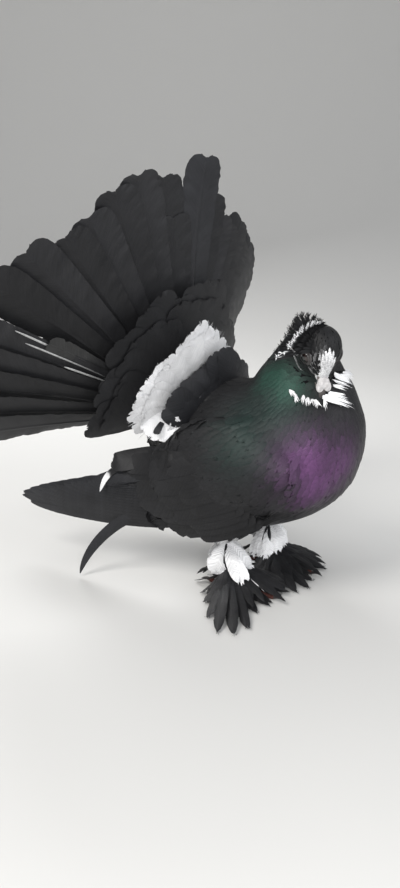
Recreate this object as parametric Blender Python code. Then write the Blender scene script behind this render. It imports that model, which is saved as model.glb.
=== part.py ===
"""Standing fantail pigeon, life size, as a museum still.

Frame: metres, +Z up, the bird faces +X and its left side is +Y. It stands on the floor z = 0,
and the whole model is moved at the end so that the middle of its box is at x = y = 0.
All sizes below are in millimetres and become metres through MM.
"""

import math
import random

import bmesh
import bpy
from mathutils import Matrix, Vector
from mathutils.bvhtree import BVHTree

MM = 0.001
GAP = 0.3
BODY_GAP = 0.4
WELDS = (0.003, 0.0012, 0.0005)
SEED = 11

# Torso: (x, middle height, half height, half width) from the rump to the breast
TORSO_SECTIONS = (
    (-66, 110, 9, 12),
    (-60, 108, 18, 20),
    (-46, 103, 30, 31),
    (-26, 94, 44, 42),
    (0, 89, 53, 48),
    (24, 93, 51, 48),
    (42, 99, 45, 42),
    (56, 104, 35, 33),
    (64, 107, 20, 19),
    (67, 108, 7, 7),
)
# Neck: (height, middle x, middle y, half length, half width) from inside the torso to the top
NECK_SECTIONS = (
    (100, 20, 0, 42, 40),
    (116, 22, 0, 45, 42),
    (130, 24, 2, 40, 35),
    (140, 26, 2, 34, 29),
    (148, 27, 0, 29, 24),
    (156, 30, -3, 24, 19),
    (164, 33, -7, 19, 15),
    (172, 36, -11, 13, 11),
    (179, 38, -13, 6, 5),
)
TORSO_TURNS = 28
HEAD_TURNS = 14
BODY_VOXEL = 10.5
NECK_PLANE_POINT = (22, 0, 124)
NECK_PLANE_NORMAL = (0.22, 0, 1)

# Head: centre of the skull, where it looks, and its sections (along, up, half height, half width)
HEAD_CENTRE = (49.2, -17.5, 166.5)
HEAD_YAW = -24.6
HEAD_PITCH = -82
HEAD_ROLL = 0
HEAD_SECTIONS = (
    (-13.8, -1, 3, 3),
    (-12, -1, 7.5, 7.5),
    (-8, 0, 11.4, 11.4),
    (-2, 0, 13.4, 13.2),
    (4, 0, 13, 13.2),
    (9, -1, 11, 11.4),
    (13, -2.2, 8.2, 8.8),
    (16.5, -3.2, 5.6, 5.8),
    (18, -3.6, 2.6, 2.8),
)
EYE_PLACE = (4.2, 1.0, 10.4)
EYE_RADIUS = 4.6
LID_RADIUS = 5.0
LID_TUBE = 0.9
LID_SINK = 0.6
BILL_LENGTH = 18
BILL_START = 15
BILL_HOOK = 1.2
CERE_RADII = (2.5, 4.4, 2.2)
NOSTRIL_PLACE = (22.6, -0.6, 3.7)
NOSTRIL_RADII = (0.9, 1.6, 0.5)
CLAW_LENGTH = 7.5

# Tail: how the fan leans back, and the soft rump and root that carry its feathers
TAIL_LEAN = -29
RUMP_CENTRE = (-52, 0, 116)
RUMP_RADII = (17, 39, 39)
TAIL_BULB_CENTRE = (-71, 0, 107)
TAIL_BULB_RADII = (10, 31, 31)
# Tiers of the tail: root, dish, spread, feather count, start and end from the root, half width, ribbed
TAIL_TIERS = {
    "quills": ((-65, 0, 110), 25.5, 108, 28, 20, 168, 18.5, True),
    "long_coverts": ((-56, 0, 111), 22, 104, 13, 26, 86, 14.5, False),
    "white_coverts": ((-45, 0, 113), 17, 104, 13, 32, 62, 11, False),
    "under_coverts": ((-70, 0, 106), 40, 84, 7, 16, 78, 14, False),
}
# The fan parts into three bodies: name, first and last angle
TAIL_SECTORS = (("tail_left", -180, -36), ("tail_middle", -36, 36), ("tail_right", 36, 180))
TAIL_AXIS_POINT = (-58, 0, 112)
# Feather outlines: (share of the length, share of the half width)
QUILL_SHAPE = ((0, 0.12), (0.45, 0.66), (0.92, 1.0), (1, 0.5))
COVERT_SHAPE = ((0, 0.3), (0.5, 0.9), (0.87, 0.9), (1, 0.3))
# Each feather laps over the next: its turn about its own line at the root and at the tip
LAP_ROOT = 38
LAP_TIP = 12
LENGTH_SPREAD = 0.035
# The feathers at the sides of the fan are longer: by how much, about which angle, over how many degrees
SIDE_LENGTH = 0.08
SIDE_ANGLE = 74
SIDE_WIDTH = 16
ANGLE_SPREAD = 1.0

# Folded wing, right side: (x, middle height, half depth, distance from the middle plane, half thickness)
WING_SECTIONS = (
    (50, 93, 6, 43, 2),
    (44, 91, 17, 46, 4.5),
    (30, 87, 30, 50, 6.5),
    (8, 84, 39, 52.5, 7),
    (-16, 80, 43, 54, 6.5),
    (-38, 75, 38, 54, 5),
    (-54, 66, 26, 54, 3),
    (-60, 60, 15, 54, 1.5),
)
WING_CURL = 12
WING_TURN = 0.45
WING_REAR_OUT = 51
WING_REAR_DEPTH = 30
WING_REAR_REACH = 100
WING_LEAST_DEPTH = 20
WING_FLAT_REACH = 30
# Flight feathers from the lowest primary to the topmost secondary
FLIGHT_COUNT = 11
FLIGHT_ROOTS = ((-34, 47), (-24, 88))
FLIGHT_TIPS = ((-170, 38), (-178, 42.5), (-84, 72))
FLIGHT_HALF_WIDTH = 8.5
FLIGHT_LIFT = 1.05
# Rows of wing coverts: first root, last root, step to the tip, count, half width, lift at root and tip
COVERT_ROWS = (
    ((24, 63), (-30, 103), (-50, -12), 5, 10.5, 4.5, 9.5),
    ((38, 68), (-8, 112), (-36, -13), 5, 9, 4.5, 9.5),
    ((0, 117), (-6, 100), (-52, -12), 3, 10, 7.5, 12.5),
)
STRAY_PATH = ((-44, 52, 52), (-80, 54.5, 41), (-96, 60, 26), (-105, 70, 2.2))
STRAY_HALF_WIDTH = 5.5

# Legs: top and hock of the right one, and the joint over its toes
LEG_TOP = (-2, 24, 46)
HOCK = (-14, 26, 33)
FOOT_JOINT = (-4, 27, 2)
HOCK_GAP = 0.3
TOES = ((2, 29), (-36, 24), (38, 22), (176, 22))
TOE_RADIUS = 2.5
# Feathers of each foot: (angle on the floor, reach) of the long ones, then of the short ones about the hock
FOOT_FEATHERS = {
    "foot_right": (
        ((-108, 22), (-84, 32), (-69, 54), (-61, 74), (-53, 77), (-45, 68), (-32, 48), (-12, 38), (10, 40)),
        ((-160, 21), (-112, 25), (-66, 26), (-22, 25)),
    ),
    "foot_left": (
        ((-38, 48), (-26, 52), (-13, 50), (0, 47), (13, 45), (27, 43), (44, 35), (70, 24)),
        ((-70, 19), (-30, 24), (8, 25), (48, 22)),
    ),
}
MUFF_HEIGHTS = (14, 10.5, 4, 2)
HOCK_HEIGHTS = (31, 29.5, 24, 17)
MUFF_SHAPE = ((0, 0.3), (0.5, 0.95), (0.85, 0.8), (1, 0.22))
MUFF_ROOT = (-12, 27)
MUFF_HALF_WIDTH = 7.5

# Crest: angle of its middle to the right of the crown, half its spread, its reach at the left and right ends
CREST_TURN = 35
CREST_SPREAD = 60
CREST_REACH = (17, 38)
CREST_COUNT = 10
CREST_HALF_WIDTH = 4.4
# Bib under the chin: middle of its spray on the neck, and (angle, reach) of each feather
BIB_ROOT = (47, -16, 141)
BIB_FEATHERS = ((-150, 19), (-122, 20), (-96, 17), (-72, 18), (-46, 22), (-18, 23), (8, 22), (34, 16))
BIB_LIFT = (-1.6, 0.4, 1.2, 1.6)
BIB_HALF_WIDTH = 3.4

VANE_THICKNESS = 0.75
VANE_RIB = 0.5
VANE_CAMBER = 0.08
TAIL_BOW = 0.0006

# Colour and roughness of each kind of sub-part, by the first word of its name
FINISHES = {
    "torso": ((0.035, 0.033, 0.040), 0.55),
    "neck": ((0.025, 0.045, 0.038), 0.45),
    "head": ((0.030, 0.032, 0.036), 0.55),
    "bill": ((0.060, 0.052, 0.050), 0.35),
    "cere": ((0.620, 0.570, 0.530), 0.60),
    "eye": ((0.300, 0.090, 0.020), 0.08),
    "tail": ((0.040, 0.040, 0.044), 0.50),
    "wing": ((0.032, 0.034, 0.036), 0.45),
    "leg": ((0.050, 0.050, 0.055), 0.60),
    "foot": ((0.300, 0.300, 0.290), 0.60),
    "claw": ((0.045, 0.040, 0.038), 0.30),
}


def vec(x, y, z):
    """A point in metres from millimetres."""
    return Vector((x, y, z)) * MM


def clear_scene():
    for obj in list(bpy.data.objects):
        bpy.data.objects.remove(obj)


def material(name, colour, roughness, metallic=0.0):
    mat = bpy.data.materials.new(name)
    mat.use_nodes = True
    shader = mat.node_tree.nodes["Principled BSDF"]
    shader.inputs["Base Color"].default_value = (*colour, 1)
    shader.inputs["Roughness"].default_value = roughness
    shader.inputs["Metallic"].default_value = metallic
    return mat


def finish_mesh(name, bm):
    """Turns a bmesh into an object with its faces pointing out."""
    bmesh.ops.recalc_face_normals(bm, faces=bm.faces)
    mesh = bpy.data.meshes.new(name)
    bm.to_mesh(mesh)
    bm.free()
    obj = bpy.data.objects.new(name, mesh)
    bpy.context.scene.collection.objects.link(obj)
    return obj


def loft(name, rings):
    """A closed body through rings of points, its two ends closed by fans."""
    bm = bmesh.new()
    loops = [[bm.verts.new(p) for p in ring] for ring in rings]
    for low, high in zip(loops, loops[1:]):
        for i in range(len(low)):
            j = (i + 1) % len(low)
            bm.faces.new((low[i], low[j], high[j], high[i]))
    for loop in (loops[0], loops[-1]):
        middle = bm.verts.new(sum((v.co for v in loop), Vector()) / len(loop))
        for i in range(len(loop)):
            bm.faces.new((loop[i], loop[(i + 1) % len(loop)], middle))
    return finish_mesh(name, bm)


def ellipse(centre, side, up, half_side, half_up, turns):
    """Points of an ellipse in metres about a centre in metres."""
    points = []
    for i in range(turns):
        a = 2 * math.pi * i / turns
        points.append(centre + side * (half_side * MM * math.cos(a)) + up * (half_up * MM * math.sin(a)))
    return points


def smooth_sections(keys, between):
    """Extra sections between the named ones, on a smooth curve through them."""
    out = []
    last = len(keys) - 1
    for i in range(last):
        a, b, c, d = keys[max(i - 1, 0)], keys[i], keys[i + 1], keys[min(i + 2, last)]
        for k in range(between + 1):
            t = k / (between + 1)
            out.append(tuple(hermite(p, q, r, s, t) for p, q, r, s in zip(a, b, c, d)))
    out.append(tuple(float(v) for v in keys[last]))
    return out


def hermite(p, q, r, s, t):
    """Smooth value between q and r, with its slopes taken from p and s."""
    m, n = (r - p) / 2, (s - q) / 2
    return (
        (2 * t**3 - 3 * t**2 + 1) * q
        + (t**3 - 2 * t**2 + t) * m
        + (3 * t**2 - 2 * t**3) * r
        + (t**3 - t**2) * n
    )


def sheet(name, grid):
    """A closed thin body about a grid of (point, normal, thickness), split alike on both faces."""
    bm = bmesh.new()
    faces = []
    for sign in (0.5, -0.5):
        faces.append([[bm.verts.new(p + n * (t * MM * sign)) for p, n, t in row] for row in grid])
    rows, columns = len(grid), len(grid[0])
    for side in faces:
        for i in range(rows - 1):
            for j in range(columns - 1):
                a, b, c, d = side[i][j], side[i][j + 1], side[i + 1][j + 1], side[i + 1][j]
                bm.faces.new((a, b, c))
                bm.faces.new((a, c, d))
    edge = [(0, j) for j in range(columns)] + [(i, columns - 1) for i in range(1, rows)]
    edge += [(rows - 1, j) for j in range(columns - 2, -1, -1)] + [(i, 0) for i in range(rows - 2, 0, -1)]
    for k, (i, j) in enumerate(edge):
        m, n = edge[(k + 1) % len(edge)]
        a, b, c, d = faces[0][i][j], faces[0][m][n], faces[1][m][n], faces[1][i][j]
        bm.faces.new((a, b, c))
        bm.faces.new((a, c, d))
    return finish_mesh(name, bm)


def ellipsoid(name, centre, radii, turns=20, rings=12, turn=None):
    bm = bmesh.new()
    bmesh.ops.create_uvsphere(bm, u_segments=turns, v_segments=rings, radius=MM)
    shape = Matrix.Diagonal((*radii, 1))
    place = Matrix.Translation(vec(*centre))
    bmesh.ops.transform(bm, matrix=place @ (turn or Matrix()) @ shape, verts=bm.verts)
    return finish_mesh(name, bm)


def box(name, low, high):
    bm = bmesh.new()
    bmesh.ops.create_cube(bm, size=MM)
    size = [h - l for l, h in zip(low, high)]
    middle = [(h + l) / 2 for l, h in zip(low, high)]
    place = Matrix.Translation(vec(*middle)) @ Matrix.Diagonal((*size, 1))
    bmesh.ops.transform(bm, matrix=place, verts=bm.verts)
    return finish_mesh(name, bm)


def half_space(name, point, normal, size=400):
    """A large block whose lower face passes through a point, square to a normal."""
    block = box(name, (-size, -size, 0), (size, size, size))
    turn = Vector(normal).to_track_quat("Z", "Y").to_matrix().to_4x4()
    block.data.transform(Matrix.Translation(vec(*point)) @ turn)
    return block


def apply_modifiers(obj):
    graph = bpy.context.evaluated_depsgraph_get()
    mesh = bpy.data.meshes.new_from_object(obj.evaluated_get(graph))
    obj.modifiers.clear()
    old = obj.data
    obj.data = mesh
    bpy.data.meshes.remove(old)


def combine(obj, others, operation, keep=False, solver="MANIFOLD"):
    """One Boolean of an object with a set of closed objects, applied."""
    group = bpy.data.collections.new(obj.name + "_set")
    bpy.context.scene.collection.children.link(group)
    for other in others:
        group.objects.link(other)
    step = obj.modifiers.new("combine", "BOOLEAN")
    step.operation = operation
    step.solver = solver
    step.operand_type = "COLLECTION"
    step.collection = group
    apply_modifiers(obj)
    bpy.data.collections.remove(group)
    if not keep:
        for other in others:
            bpy.data.objects.remove(other)
    keep_largest(obj)
    return obj


def keep_largest(obj):
    """Leaves only the closed surface with the most volume."""
    bm = bmesh.new()
    bm.from_mesh(obj.data)
    left = set(bm.faces)
    shells = []
    while left:
        stack = [left.pop()]
        shell = list(stack)
        while stack:
            for edge in stack.pop().edges:
                for face in edge.link_faces:
                    if face in left:
                        left.remove(face)
                        stack.append(face)
                        shell.append(face)
        shells.append(shell)
    if len(shells) > 1:
        best = max(shells, key=shell_volume)
        extra = [f for shell in shells if shell is not best for f in shell]
        bmesh.ops.delete(bm, geom=extra, context="FACES")
        bm.to_mesh(obj.data)
    bm.free()


def shell_volume(faces):
    total = 0.0
    for face in faces:
        corners = [v.co for v in face.verts]
        for i in range(1, len(corners) - 1):
            total += corners[0].dot(corners[i].cross(corners[i + 1]))
    return total / 6


def triangulated(obj):
    """Splits a body into triangles and welds corners that nearly meet, where it stays closed."""
    for weld in WELDS:
        bm = bmesh.new()
        bm.from_mesh(obj.data)
        bmesh.ops.triangulate(bm, faces=bm.faces)
        bmesh.ops.remove_doubles(bm, verts=bm.verts, dist=weld * MM)
        bmesh.ops.dissolve_degenerate(bm, edges=bm.edges, dist=weld * MM)
        bmesh.ops.triangulate(bm, faces=bm.faces)
        closed = all(len(edge.link_faces) == 2 for edge in bm.edges)
        if closed:
            bm.to_mesh(obj.data)
        bm.free()
        if closed:
            return


def grown(obj, amount=GAP):
    """A copy of a body swollen by an amount along its normals, to cut its neighbours clear of it."""
    triangulated(obj)
    copy = bpy.data.objects.new(obj.name + "_clear", obj.data.copy())
    bpy.context.scene.collection.objects.link(copy)
    for vertex in copy.data.vertices:
        vertex.co += vertex.normal * (amount * MM)
    return copy


def mirrored(obj, name):
    """A copy of a right-side piece for the left side."""
    bm = bmesh.new()
    bm.from_mesh(obj.data)
    bmesh.ops.transform(bm, matrix=Matrix.Diagonal((1, -1, 1, 1)), verts=bm.verts)
    return finish_mesh(name, bm)


def mirrored_in_place(obj):
    """Turns a right-side piece into the left-side one."""
    name = obj.name
    copy = mirrored(obj, name + "_mirror")
    bpy.data.objects.remove(obj)
    copy.name = name
    return copy


def duplicate(obj, name):
    copy = bpy.data.objects.new(name, obj.data.copy())
    bpy.context.scene.collection.objects.link(copy)
    return copy


def head_axes():
    """The head's own directions: along the bill, up through the crown, and to its right."""
    yaw, pitch, roll = math.radians(HEAD_YAW), math.radians(HEAD_PITCH), math.radians(HEAD_ROLL)
    along = Vector((math.cos(yaw) * math.cos(pitch), math.sin(yaw) * math.cos(pitch), math.sin(pitch)))
    level = Vector((math.sin(yaw), -math.cos(yaw), 0))
    right = level * math.cos(roll) + level.cross(along) * math.sin(roll)
    return along, right.cross(along), right


def head_point(along, up, right):
    a, u, r = head_axes()
    return vec(*HEAD_CENTRE) + (a * along + u * up + r * right) * MM


def torso_body():
    rings = []
    for x, z, high, wide in smooth_sections(TORSO_SECTIONS, 1):
        rings.append(ellipse(vec(x, 0, z), Vector((0, 1, 0)), Vector((0, 0, 1)), wide, high, TORSO_TURNS))
    return loft("torso_form", rings)


def neck_body():
    rings = []
    for z, x, y, long, wide in smooth_sections(NECK_SECTIONS, 1):
        rings.append(ellipse(vec(x, y, z), Vector((1, 0, 0)), Vector((0, 1, 0)), long, wide, TORSO_TURNS))
    return loft("neck_form", rings)


def body_form():
    """Torso and neck in one smooth body, before they are parted."""
    body = combine(torso_body(), [neck_body()], "UNION")
    remesh = body.modifiers.new("even_faces", "REMESH")
    remesh.mode = "VOXEL"
    remesh.voxel_size = BODY_VOXEL * MM
    smooth = body.modifiers.new("blend", "SMOOTH")
    smooth.factor = 0.5
    smooth.iterations = 4
    apply_modifiers(body)
    return body


def head_form():
    rings = []
    a, u, r = head_axes()
    for along, up, high, wide in smooth_sections(HEAD_SECTIONS, 1):
        rings.append(ellipse(head_point(along, up, 0), r, u, wide, high, HEAD_TURNS))
    return loft("head", rings)


def lid(side):
    """The raised ring of lids about one eye."""
    a, u, r = head_axes()
    along, up, out = EYE_PLACE
    centre = head_point(along, up, side * (out + 2.6))
    normal = (r * side + a * 0.25).normalized()
    first = normal.cross(u).normalized()
    second = normal.cross(first)
    bm = bmesh.new()
    around, tube = 12, 4
    verts = []
    for i in range(around):
        b = 2 * math.pi * i / around
        outward = first * math.cos(b) + second * math.sin(b)
        ring = []
        for j in range(tube):
            c = 2 * math.pi * j / tube
            reach = LID_RADIUS + LID_TUBE * math.cos(c)
            rise = LID_TUBE * math.sin(c) - LID_SINK
            ring.append(bm.verts.new(centre + (outward * reach + normal * rise) * MM))
        verts.append(ring)
    for i in range(around):
        for j in range(tube):
            k, m = (i + 1) % around, (j + 1) % tube
            bm.faces.new((verts[i][j], verts[k][j], verts[k][m], verts[i][m]))
    return finish_mesh("lid", bm)


def eye(name, side):
    along, up, out = EYE_PLACE
    bm = bmesh.new()
    bmesh.ops.create_uvsphere(bm, u_segments=14, v_segments=8, radius=EYE_RADIUS * MM)
    bmesh.ops.translate(bm, vec=head_point(along, up, side * out), verts=bm.verts)
    return finish_mesh(name, bm)


def bill_half(name, upper):
    """Upper or lower bill: tapering sections along the head's axis, parted by the line of the mouth."""
    rings = []
    a, u, r = head_axes()
    sign = 1 if upper else -1
    stations = ((0, 4.6), (0.25, 4.1), (0.5, 3.2), (0.75, 2.4), (0.92, 1.5), (1.0, 0.5))
    length = BILL_LENGTH if upper else BILL_LENGTH - BILL_HOOK
    for t, wide in stations:
        high = wide * (0.95 if upper else 0.62)
        base = head_point(BILL_START + t * length, bill_drop(t * length) + sign * GAP / 2, 0)
        ring = []
        for i in range(9):
            b = math.pi * i / 8
            ring.append(base + r * (wide * MM * math.cos(b)) + u * (sign * high * MM * math.sin(b)))
        rings.append(ring)
    return loft(name, rings)


def bill_drop(distance):
    """How far the line of the mouth lies under the head's axis at a distance along the bill."""
    return -3.4 - 0.12 * max(distance - 0.6 * BILL_LENGTH, 0)


def bill_clear():
    """The hollow that both halves of the bill lie in where they touch the breast."""
    a, u, r = head_axes()
    rings = []
    for distance, wide in ((-4, 5.4), (4, 5.2), (9, 4.2), (14, 3.3), (BILL_LENGTH + 0.8, 1.9)):
        rings.append(ellipse(head_point(BILL_START + distance, bill_drop(distance), 0), r, u, wide, wide, 12))
    return loft("bill_clear", rings)


def cere_form():
    """The two soft bulbs across the bill in one piece, with a nostril slit in the side of each."""
    a, u, r = head_axes()
    turn = Matrix((r, a, u)).transposed().to_4x4()
    bulbs = []
    for side in (1, -1):
        centre = (head_point(BILL_START + 5.0, 0.2, side * 1.9)) / MM
        bulbs.append(ellipsoid("cere", centre, CERE_RADII, 8, 5, turn))
    cere = combine(bulbs[0], [bulbs[1]], "UNION")
    slits = []
    for side in (1, -1):
        along, up, out = NOSTRIL_PLACE
        slits.append(ellipsoid("nostril", head_point(along, up, side * out) / MM, NOSTRIL_RADII, 6, 4, turn))
    return combine(cere, slits, "DIFFERENCE")


def vane(name, path, shape, half_width, ribbed=False):
    """One feather: a thin blade along a path of (point, normal), cambered about a rib if large."""
    grid = []
    last = len(path) - 1
    for i, ((point, normal), (t, wide)) in enumerate(zip(path, shape)):
        tangent = path[min(i + 1, last)][0] - path[max(i - 1, 0)][0]
        side = tangent.cross(normal).normalized()
        up = side.cross(tangent).normalized()
        w = half_width * wide * MM
        edge = VANE_THICKNESS * (1 - 0.3 * t)
        if ribbed:
            drop = up * (VANE_CAMBER * w)
            rib = edge + VANE_RIB * (1 - 0.7 * t)
            sides = [(point - side * w - drop, up, edge), (point + side * w - drop, up, edge)]
            grid.append([sides[0], (point, up, rib), sides[1]])
        else:
            grid.append([(point - side * w, up, edge), (point + side * w, up, edge)])
    return sheet(name, grid)


def lapped(normal, along, t, hand=1):
    """A normal turned about the feather's own line, more at the root, to lap over the next feather."""
    degrees = LAP_ROOT + (LAP_TIP - LAP_ROOT) * t
    return Matrix.Rotation(math.radians(hand * degrees), 3, along) @ normal


def fan_directions(theta, dish):
    """Outward direction and front normal of the tail at an angle, 0 upright, positive to the right."""
    lean, cone = math.radians(TAIL_LEAN), math.radians(dish)
    centre = Vector((-math.sin(lean), 0, math.cos(lean)))
    front = Vector((math.cos(lean), 0, math.sin(lean)))
    a = math.radians(theta)
    spoke = centre * math.cos(a) + Vector((0, -1, 0)) * math.sin(a)
    return spoke * math.cos(cone) - front * math.sin(cone), spoke * math.sin(cone) + front * math.cos(cone)


def tail_tier(name, draw):
    """One fan of feathers with their angles, the middle ones lapping over those outside them."""
    root, dish, spread, count, start, end, half_width, ribbed = TAIL_TIERS[name]
    shape = QUILL_SHAPE if ribbed else COVERT_SHAPE
    feathers = []
    for i in range(count):
        theta = -spread + 2 * spread * i / (count - 1) + draw.uniform(-ANGLE_SPREAD, ANGLE_SPREAD)
        outward, front = fan_directions(theta, dish)
        longer = SIDE_LENGTH * math.exp(-(((abs(theta) - SIDE_ANGLE) / SIDE_WIDTH) ** 2)) if ribbed else 0
        reach = end * (1 + longer + draw.uniform(-LENGTH_SPREAD, LENGTH_SPREAD))
        path = []
        for t, wide in shape:
            r = start + (reach - start) * t
            point = vec(*root) + (outward * r - front * (TAIL_BOW * r * r * (1 - t))) * MM
            path.append((point, lapped(front, outward, t, 1 if theta > 0 else -1)))
        feathers.append((theta, vane(name, path, shape, half_width, ribbed)))
    return feathers


def tail_core(name):
    """Rump and tail root, which carry the fan."""
    lean = Matrix.Rotation(math.radians(-TAIL_LEAN), 4, "Y")
    rump = ellipsoid(name, RUMP_CENTRE, RUMP_RADII, 16, 8, lean)
    return combine(rump, [ellipsoid("tail_bulb", TAIL_BULB_CENTRE, TAIL_BULB_RADII, 14, 6, lean)], "UNION")


def sector_wall(theta, side):
    """A block whose face stands along the fan at an angle, half a gap clear of it, to cut away one side."""
    spoke, front = fan_directions(theta, 0)
    across = front.cross(spoke).normalized() * side
    return half_space("wall", Vector(TAIL_AXIS_POINT) - across * (GAP / 2), across)


def tail_forms():
    """The fan in three bodies, right, middle and left, each with its share of the rump and of every tier."""
    draw = random.Random(SEED)
    feathers = [pair for tier in TAIL_TIERS for pair in tail_tier(tier, draw)]
    sectors = []
    for name, low, high in TAIL_SECTORS:
        core = tail_core(name)
        combine(core, [sector_wall(low, -1), sector_wall(high, 1)], "DIFFERENCE")
        sectors.append((core, [f for theta, f in feathers if low < theta <= high]))
    swollen = [grown(core) for core, own in sectors]
    for number, (core, own) in enumerate(sectors):
        others = [block for k, block in enumerate(swollen) if k != number]
        for feather in own:
            combine(feather, others, "DIFFERENCE", keep=True)
        combine(core, own, "UNION")
    for block in swollen:
        bpy.data.objects.remove(block)
    return [core for core, own in sectors]


def wing_surface(x, z):
    """Point on the middle sheet of the folded right wing, and its outward normal."""
    sections = sorted(WING_SECTIONS)
    low = max([s for s in sections if s[0] <= x] or sections[:1])
    high = min([s for s in sections if s[0] >= x] or sections[-1:])
    mix = (x - low[0]) / (high[0] - low[0]) if high[0] > low[0] else 0
    middle, deep, out = (low[k] + (high[k] - low[k]) * mix for k in (1, 2, 3))
    behind = sections[0][0] - x
    if behind > 0:
        deep = WING_REAR_DEPTH
        out += (WING_REAR_OUT - out) * min(1, behind / WING_REAR_REACH)
    t = max(-1.2, min(1.2, (z - middle) / max(deep, WING_LEAST_DEPTH)))
    flat = min(1, max(0, 1 - (behind + WING_FLAT_REACH) / (2 * WING_FLAT_REACH)))
    return vec(x, -out + WING_CURL * t * t * flat, z), Vector((0, -1, WING_TURN * t)).normalized()


def wing_core(name):
    """The arm and hand under the feathers, which reach out from it."""
    grid = []
    for x, z, deep, out, thick in smooth_sections(WING_SECTIONS, 0):
        row = []
        for k in range(-2, 3):
            t = k / 2
            point, normal = wing_surface(x, z + deep * t)
            row.append((point, normal, 2 * thick * (1 - 0.8 * t * t)))
        grid.append(row)
    return sheet(name, grid)


def wing_vane(root, tip, half_width, lift_root, lift_tip, ribbed=False):
    """One feather laid along the wing's sheet from a root to a tip, both (x, height)."""
    path = []
    along = Vector((tip[0] - root[0], 0, tip[1] - root[1])).normalized()
    for t, wide in COVERT_SHAPE:
        point, normal = wing_surface(root[0] + (tip[0] - root[0]) * t, root[1] + (tip[1] - root[1]) * t)
        lift = lift_root + (lift_tip - lift_root) * t
        path.append((point + normal * (lift * MM), lapped(normal, along, t)))
    return vane("wing_vane", path, COVERT_SHAPE, half_width, ribbed)


def flight_feathers():
    """Primaries and secondaries of the folded wing, each lapping over the one below it."""
    feathers = []
    lowest, second, topmost = FLIGHT_TIPS
    for i in range(FLIGHT_COUNT):
        root = mix_points(*FLIGHT_ROOTS, i / (FLIGHT_COUNT - 1))
        tip = mix_points(second, topmost, (i - 1) / (FLIGHT_COUNT - 2)) if i else lowest
        feathers.append(wing_vane(root, tip, FLIGHT_HALF_WIDTH, 0, FLIGHT_LIFT * i, True))
    return feathers


def wing_coverts():
    """Greater and median coverts and scapulars, in rows over the roots of the flight feathers."""
    feathers = []
    for first, last, step, count, half_width, lift_root, lift_tip in COVERT_ROWS:
        for i in range(count):
            root = mix_points(first, last, i / (count - 1))
            tip = (root[0] + step[0], root[1] + step[1])
            feathers.append(wing_vane(root, tip, half_width, lift_root, lift_tip))
    return feathers


def mix_points(a, b, t):
    return tuple(p + (q - p) * t for p, q in zip(a, b))


def stray_feather():
    """The loose primary that hangs from the right wing to the floor."""
    facing = Vector((0.35, -1, 0)).normalized()
    path = [(vec(x, -out, z), facing) for x, out, z in STRAY_PATH]
    return vane("stray", path, COVERT_SHAPE, STRAY_HALF_WIDTH, True)


def wing_form(name, extra=()):
    core = wing_core(name)
    return combine(core, [*flight_feathers(), *wing_coverts(), *extra], "UNION")


def leg_form(name):
    top, hock = (vec(x, -y, z) for x, y, z in (LEG_TOP, HOCK))
    rings = []
    for t, wide in ((-0.4, 17), (0, 15), (0.5, 11), (1, 7)):
        rings.append(ellipse(top.lerp(hock, t), Vector((1, 0, 0)), Vector((0, 1, 0)), wide, wide * 0.8, 14))
    return loft(name, rings)


def toe_line(angle):
    """Start and direction of a toe on the floor, and the direction across it."""
    a = math.radians(angle)
    start = vec(FOOT_JOINT[0], -FOOT_JOINT[1], 0)
    return start, Vector((math.cos(a), math.sin(a), 0)), Vector((-math.sin(a), math.cos(a), 0))


def toe(angle, length):
    """One toe along the floor, from under the joint outwards."""
    start, along, side = toe_line(angle)
    rings = []
    for t, wide in ((0, 1), (0.45, 1), (0.85, 0.8), (1, 0.6)):
        radius = TOE_RADIUS * wide
        centre = start + along * (t * length * MM) + vec(0, 0, radius * 0.75)
        rings.append(ellipse(centre, side, Vector((0, 0, 1)), radius, radius, 8))
    return loft("toe", rings)


def claw(name, angle, length):
    start, along, side = toe_line(angle)
    start = start + along * ((length + 1.2 * GAP) * MM)
    rings = []
    for t, wide in ((0, 1.35), (0.35, 1.15), (0.75, 0.65), (1, 0.2)):
        height = 1.6 + 1.4 * math.sin(math.pi * t * 0.9) - 1.3 * t
        centre = start + along * (t * CLAW_LENGTH * MM) + vec(0, 0, max(height, wide))
        rings.append(ellipse(centre, side, Vector((0, 0, 1)), wide * 0.8, wide, 6))
    return loft(name, rings)


def muff_vane(angle, reach, heights, hand):
    """One foot feather from the shank outwards, down towards the floor."""
    a = math.radians(angle)
    outward = Vector((math.cos(a), math.sin(a), 0))
    centre = vec(MUFF_ROOT[0], -MUFF_ROOT[1] * hand, 0)
    half_width = MUFF_HALF_WIDTH * (0.55 + 0.45 * reach / 75)
    path = []
    for (t, wide), height in zip(MUFF_SHAPE, heights):
        point = centre + outward * (reach * t * MM) + vec(0, 0, height)
        path.append((point, lapped(Vector((0, 0, 1)), outward, t)))
    return vane("muff", path, MUFF_SHAPE, half_width)


def shank(name, hand):
    """The shank from the hock to the joint over the toes, with the toes."""
    rings = []
    for t, wide in ((0, 5.2), (0.6, 4), (1, 4.2)):
        x, y, z = mix_points(HOCK, FOOT_JOINT, t)
        height = z - HOCK_GAP * (1 - t)
        rings.append(ellipse(vec(x, -y, height), Vector((1, 0, 0)), Vector((0, 1, 0)), wide, wide, 10))
    legs = combine(loft(name, rings), [toe(*sizes) for sizes in TOES], "UNION")
    if hand < 0:
        return mirrored_in_place(legs)
    return legs


def foot_form(name, hand):
    """Shank, toes and the long feathering of one foot, cut flat where it stands on the floor."""
    foot = shank(name, hand)
    long_ones, short_ones = FOOT_FEATHERS[name]
    feathers = [muff_vane(*sizes, MUFF_HEIGHTS, hand) for sizes in long_ones]
    feathers += [muff_vane(*sizes, HOCK_HEIGHTS, hand) for sizes in short_ones]
    combine(foot, feathers, "UNION")
    return combine(foot, [box("floor", (-200, -200, -50), (200, 200, 0))], "DIFFERENCE")


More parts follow.
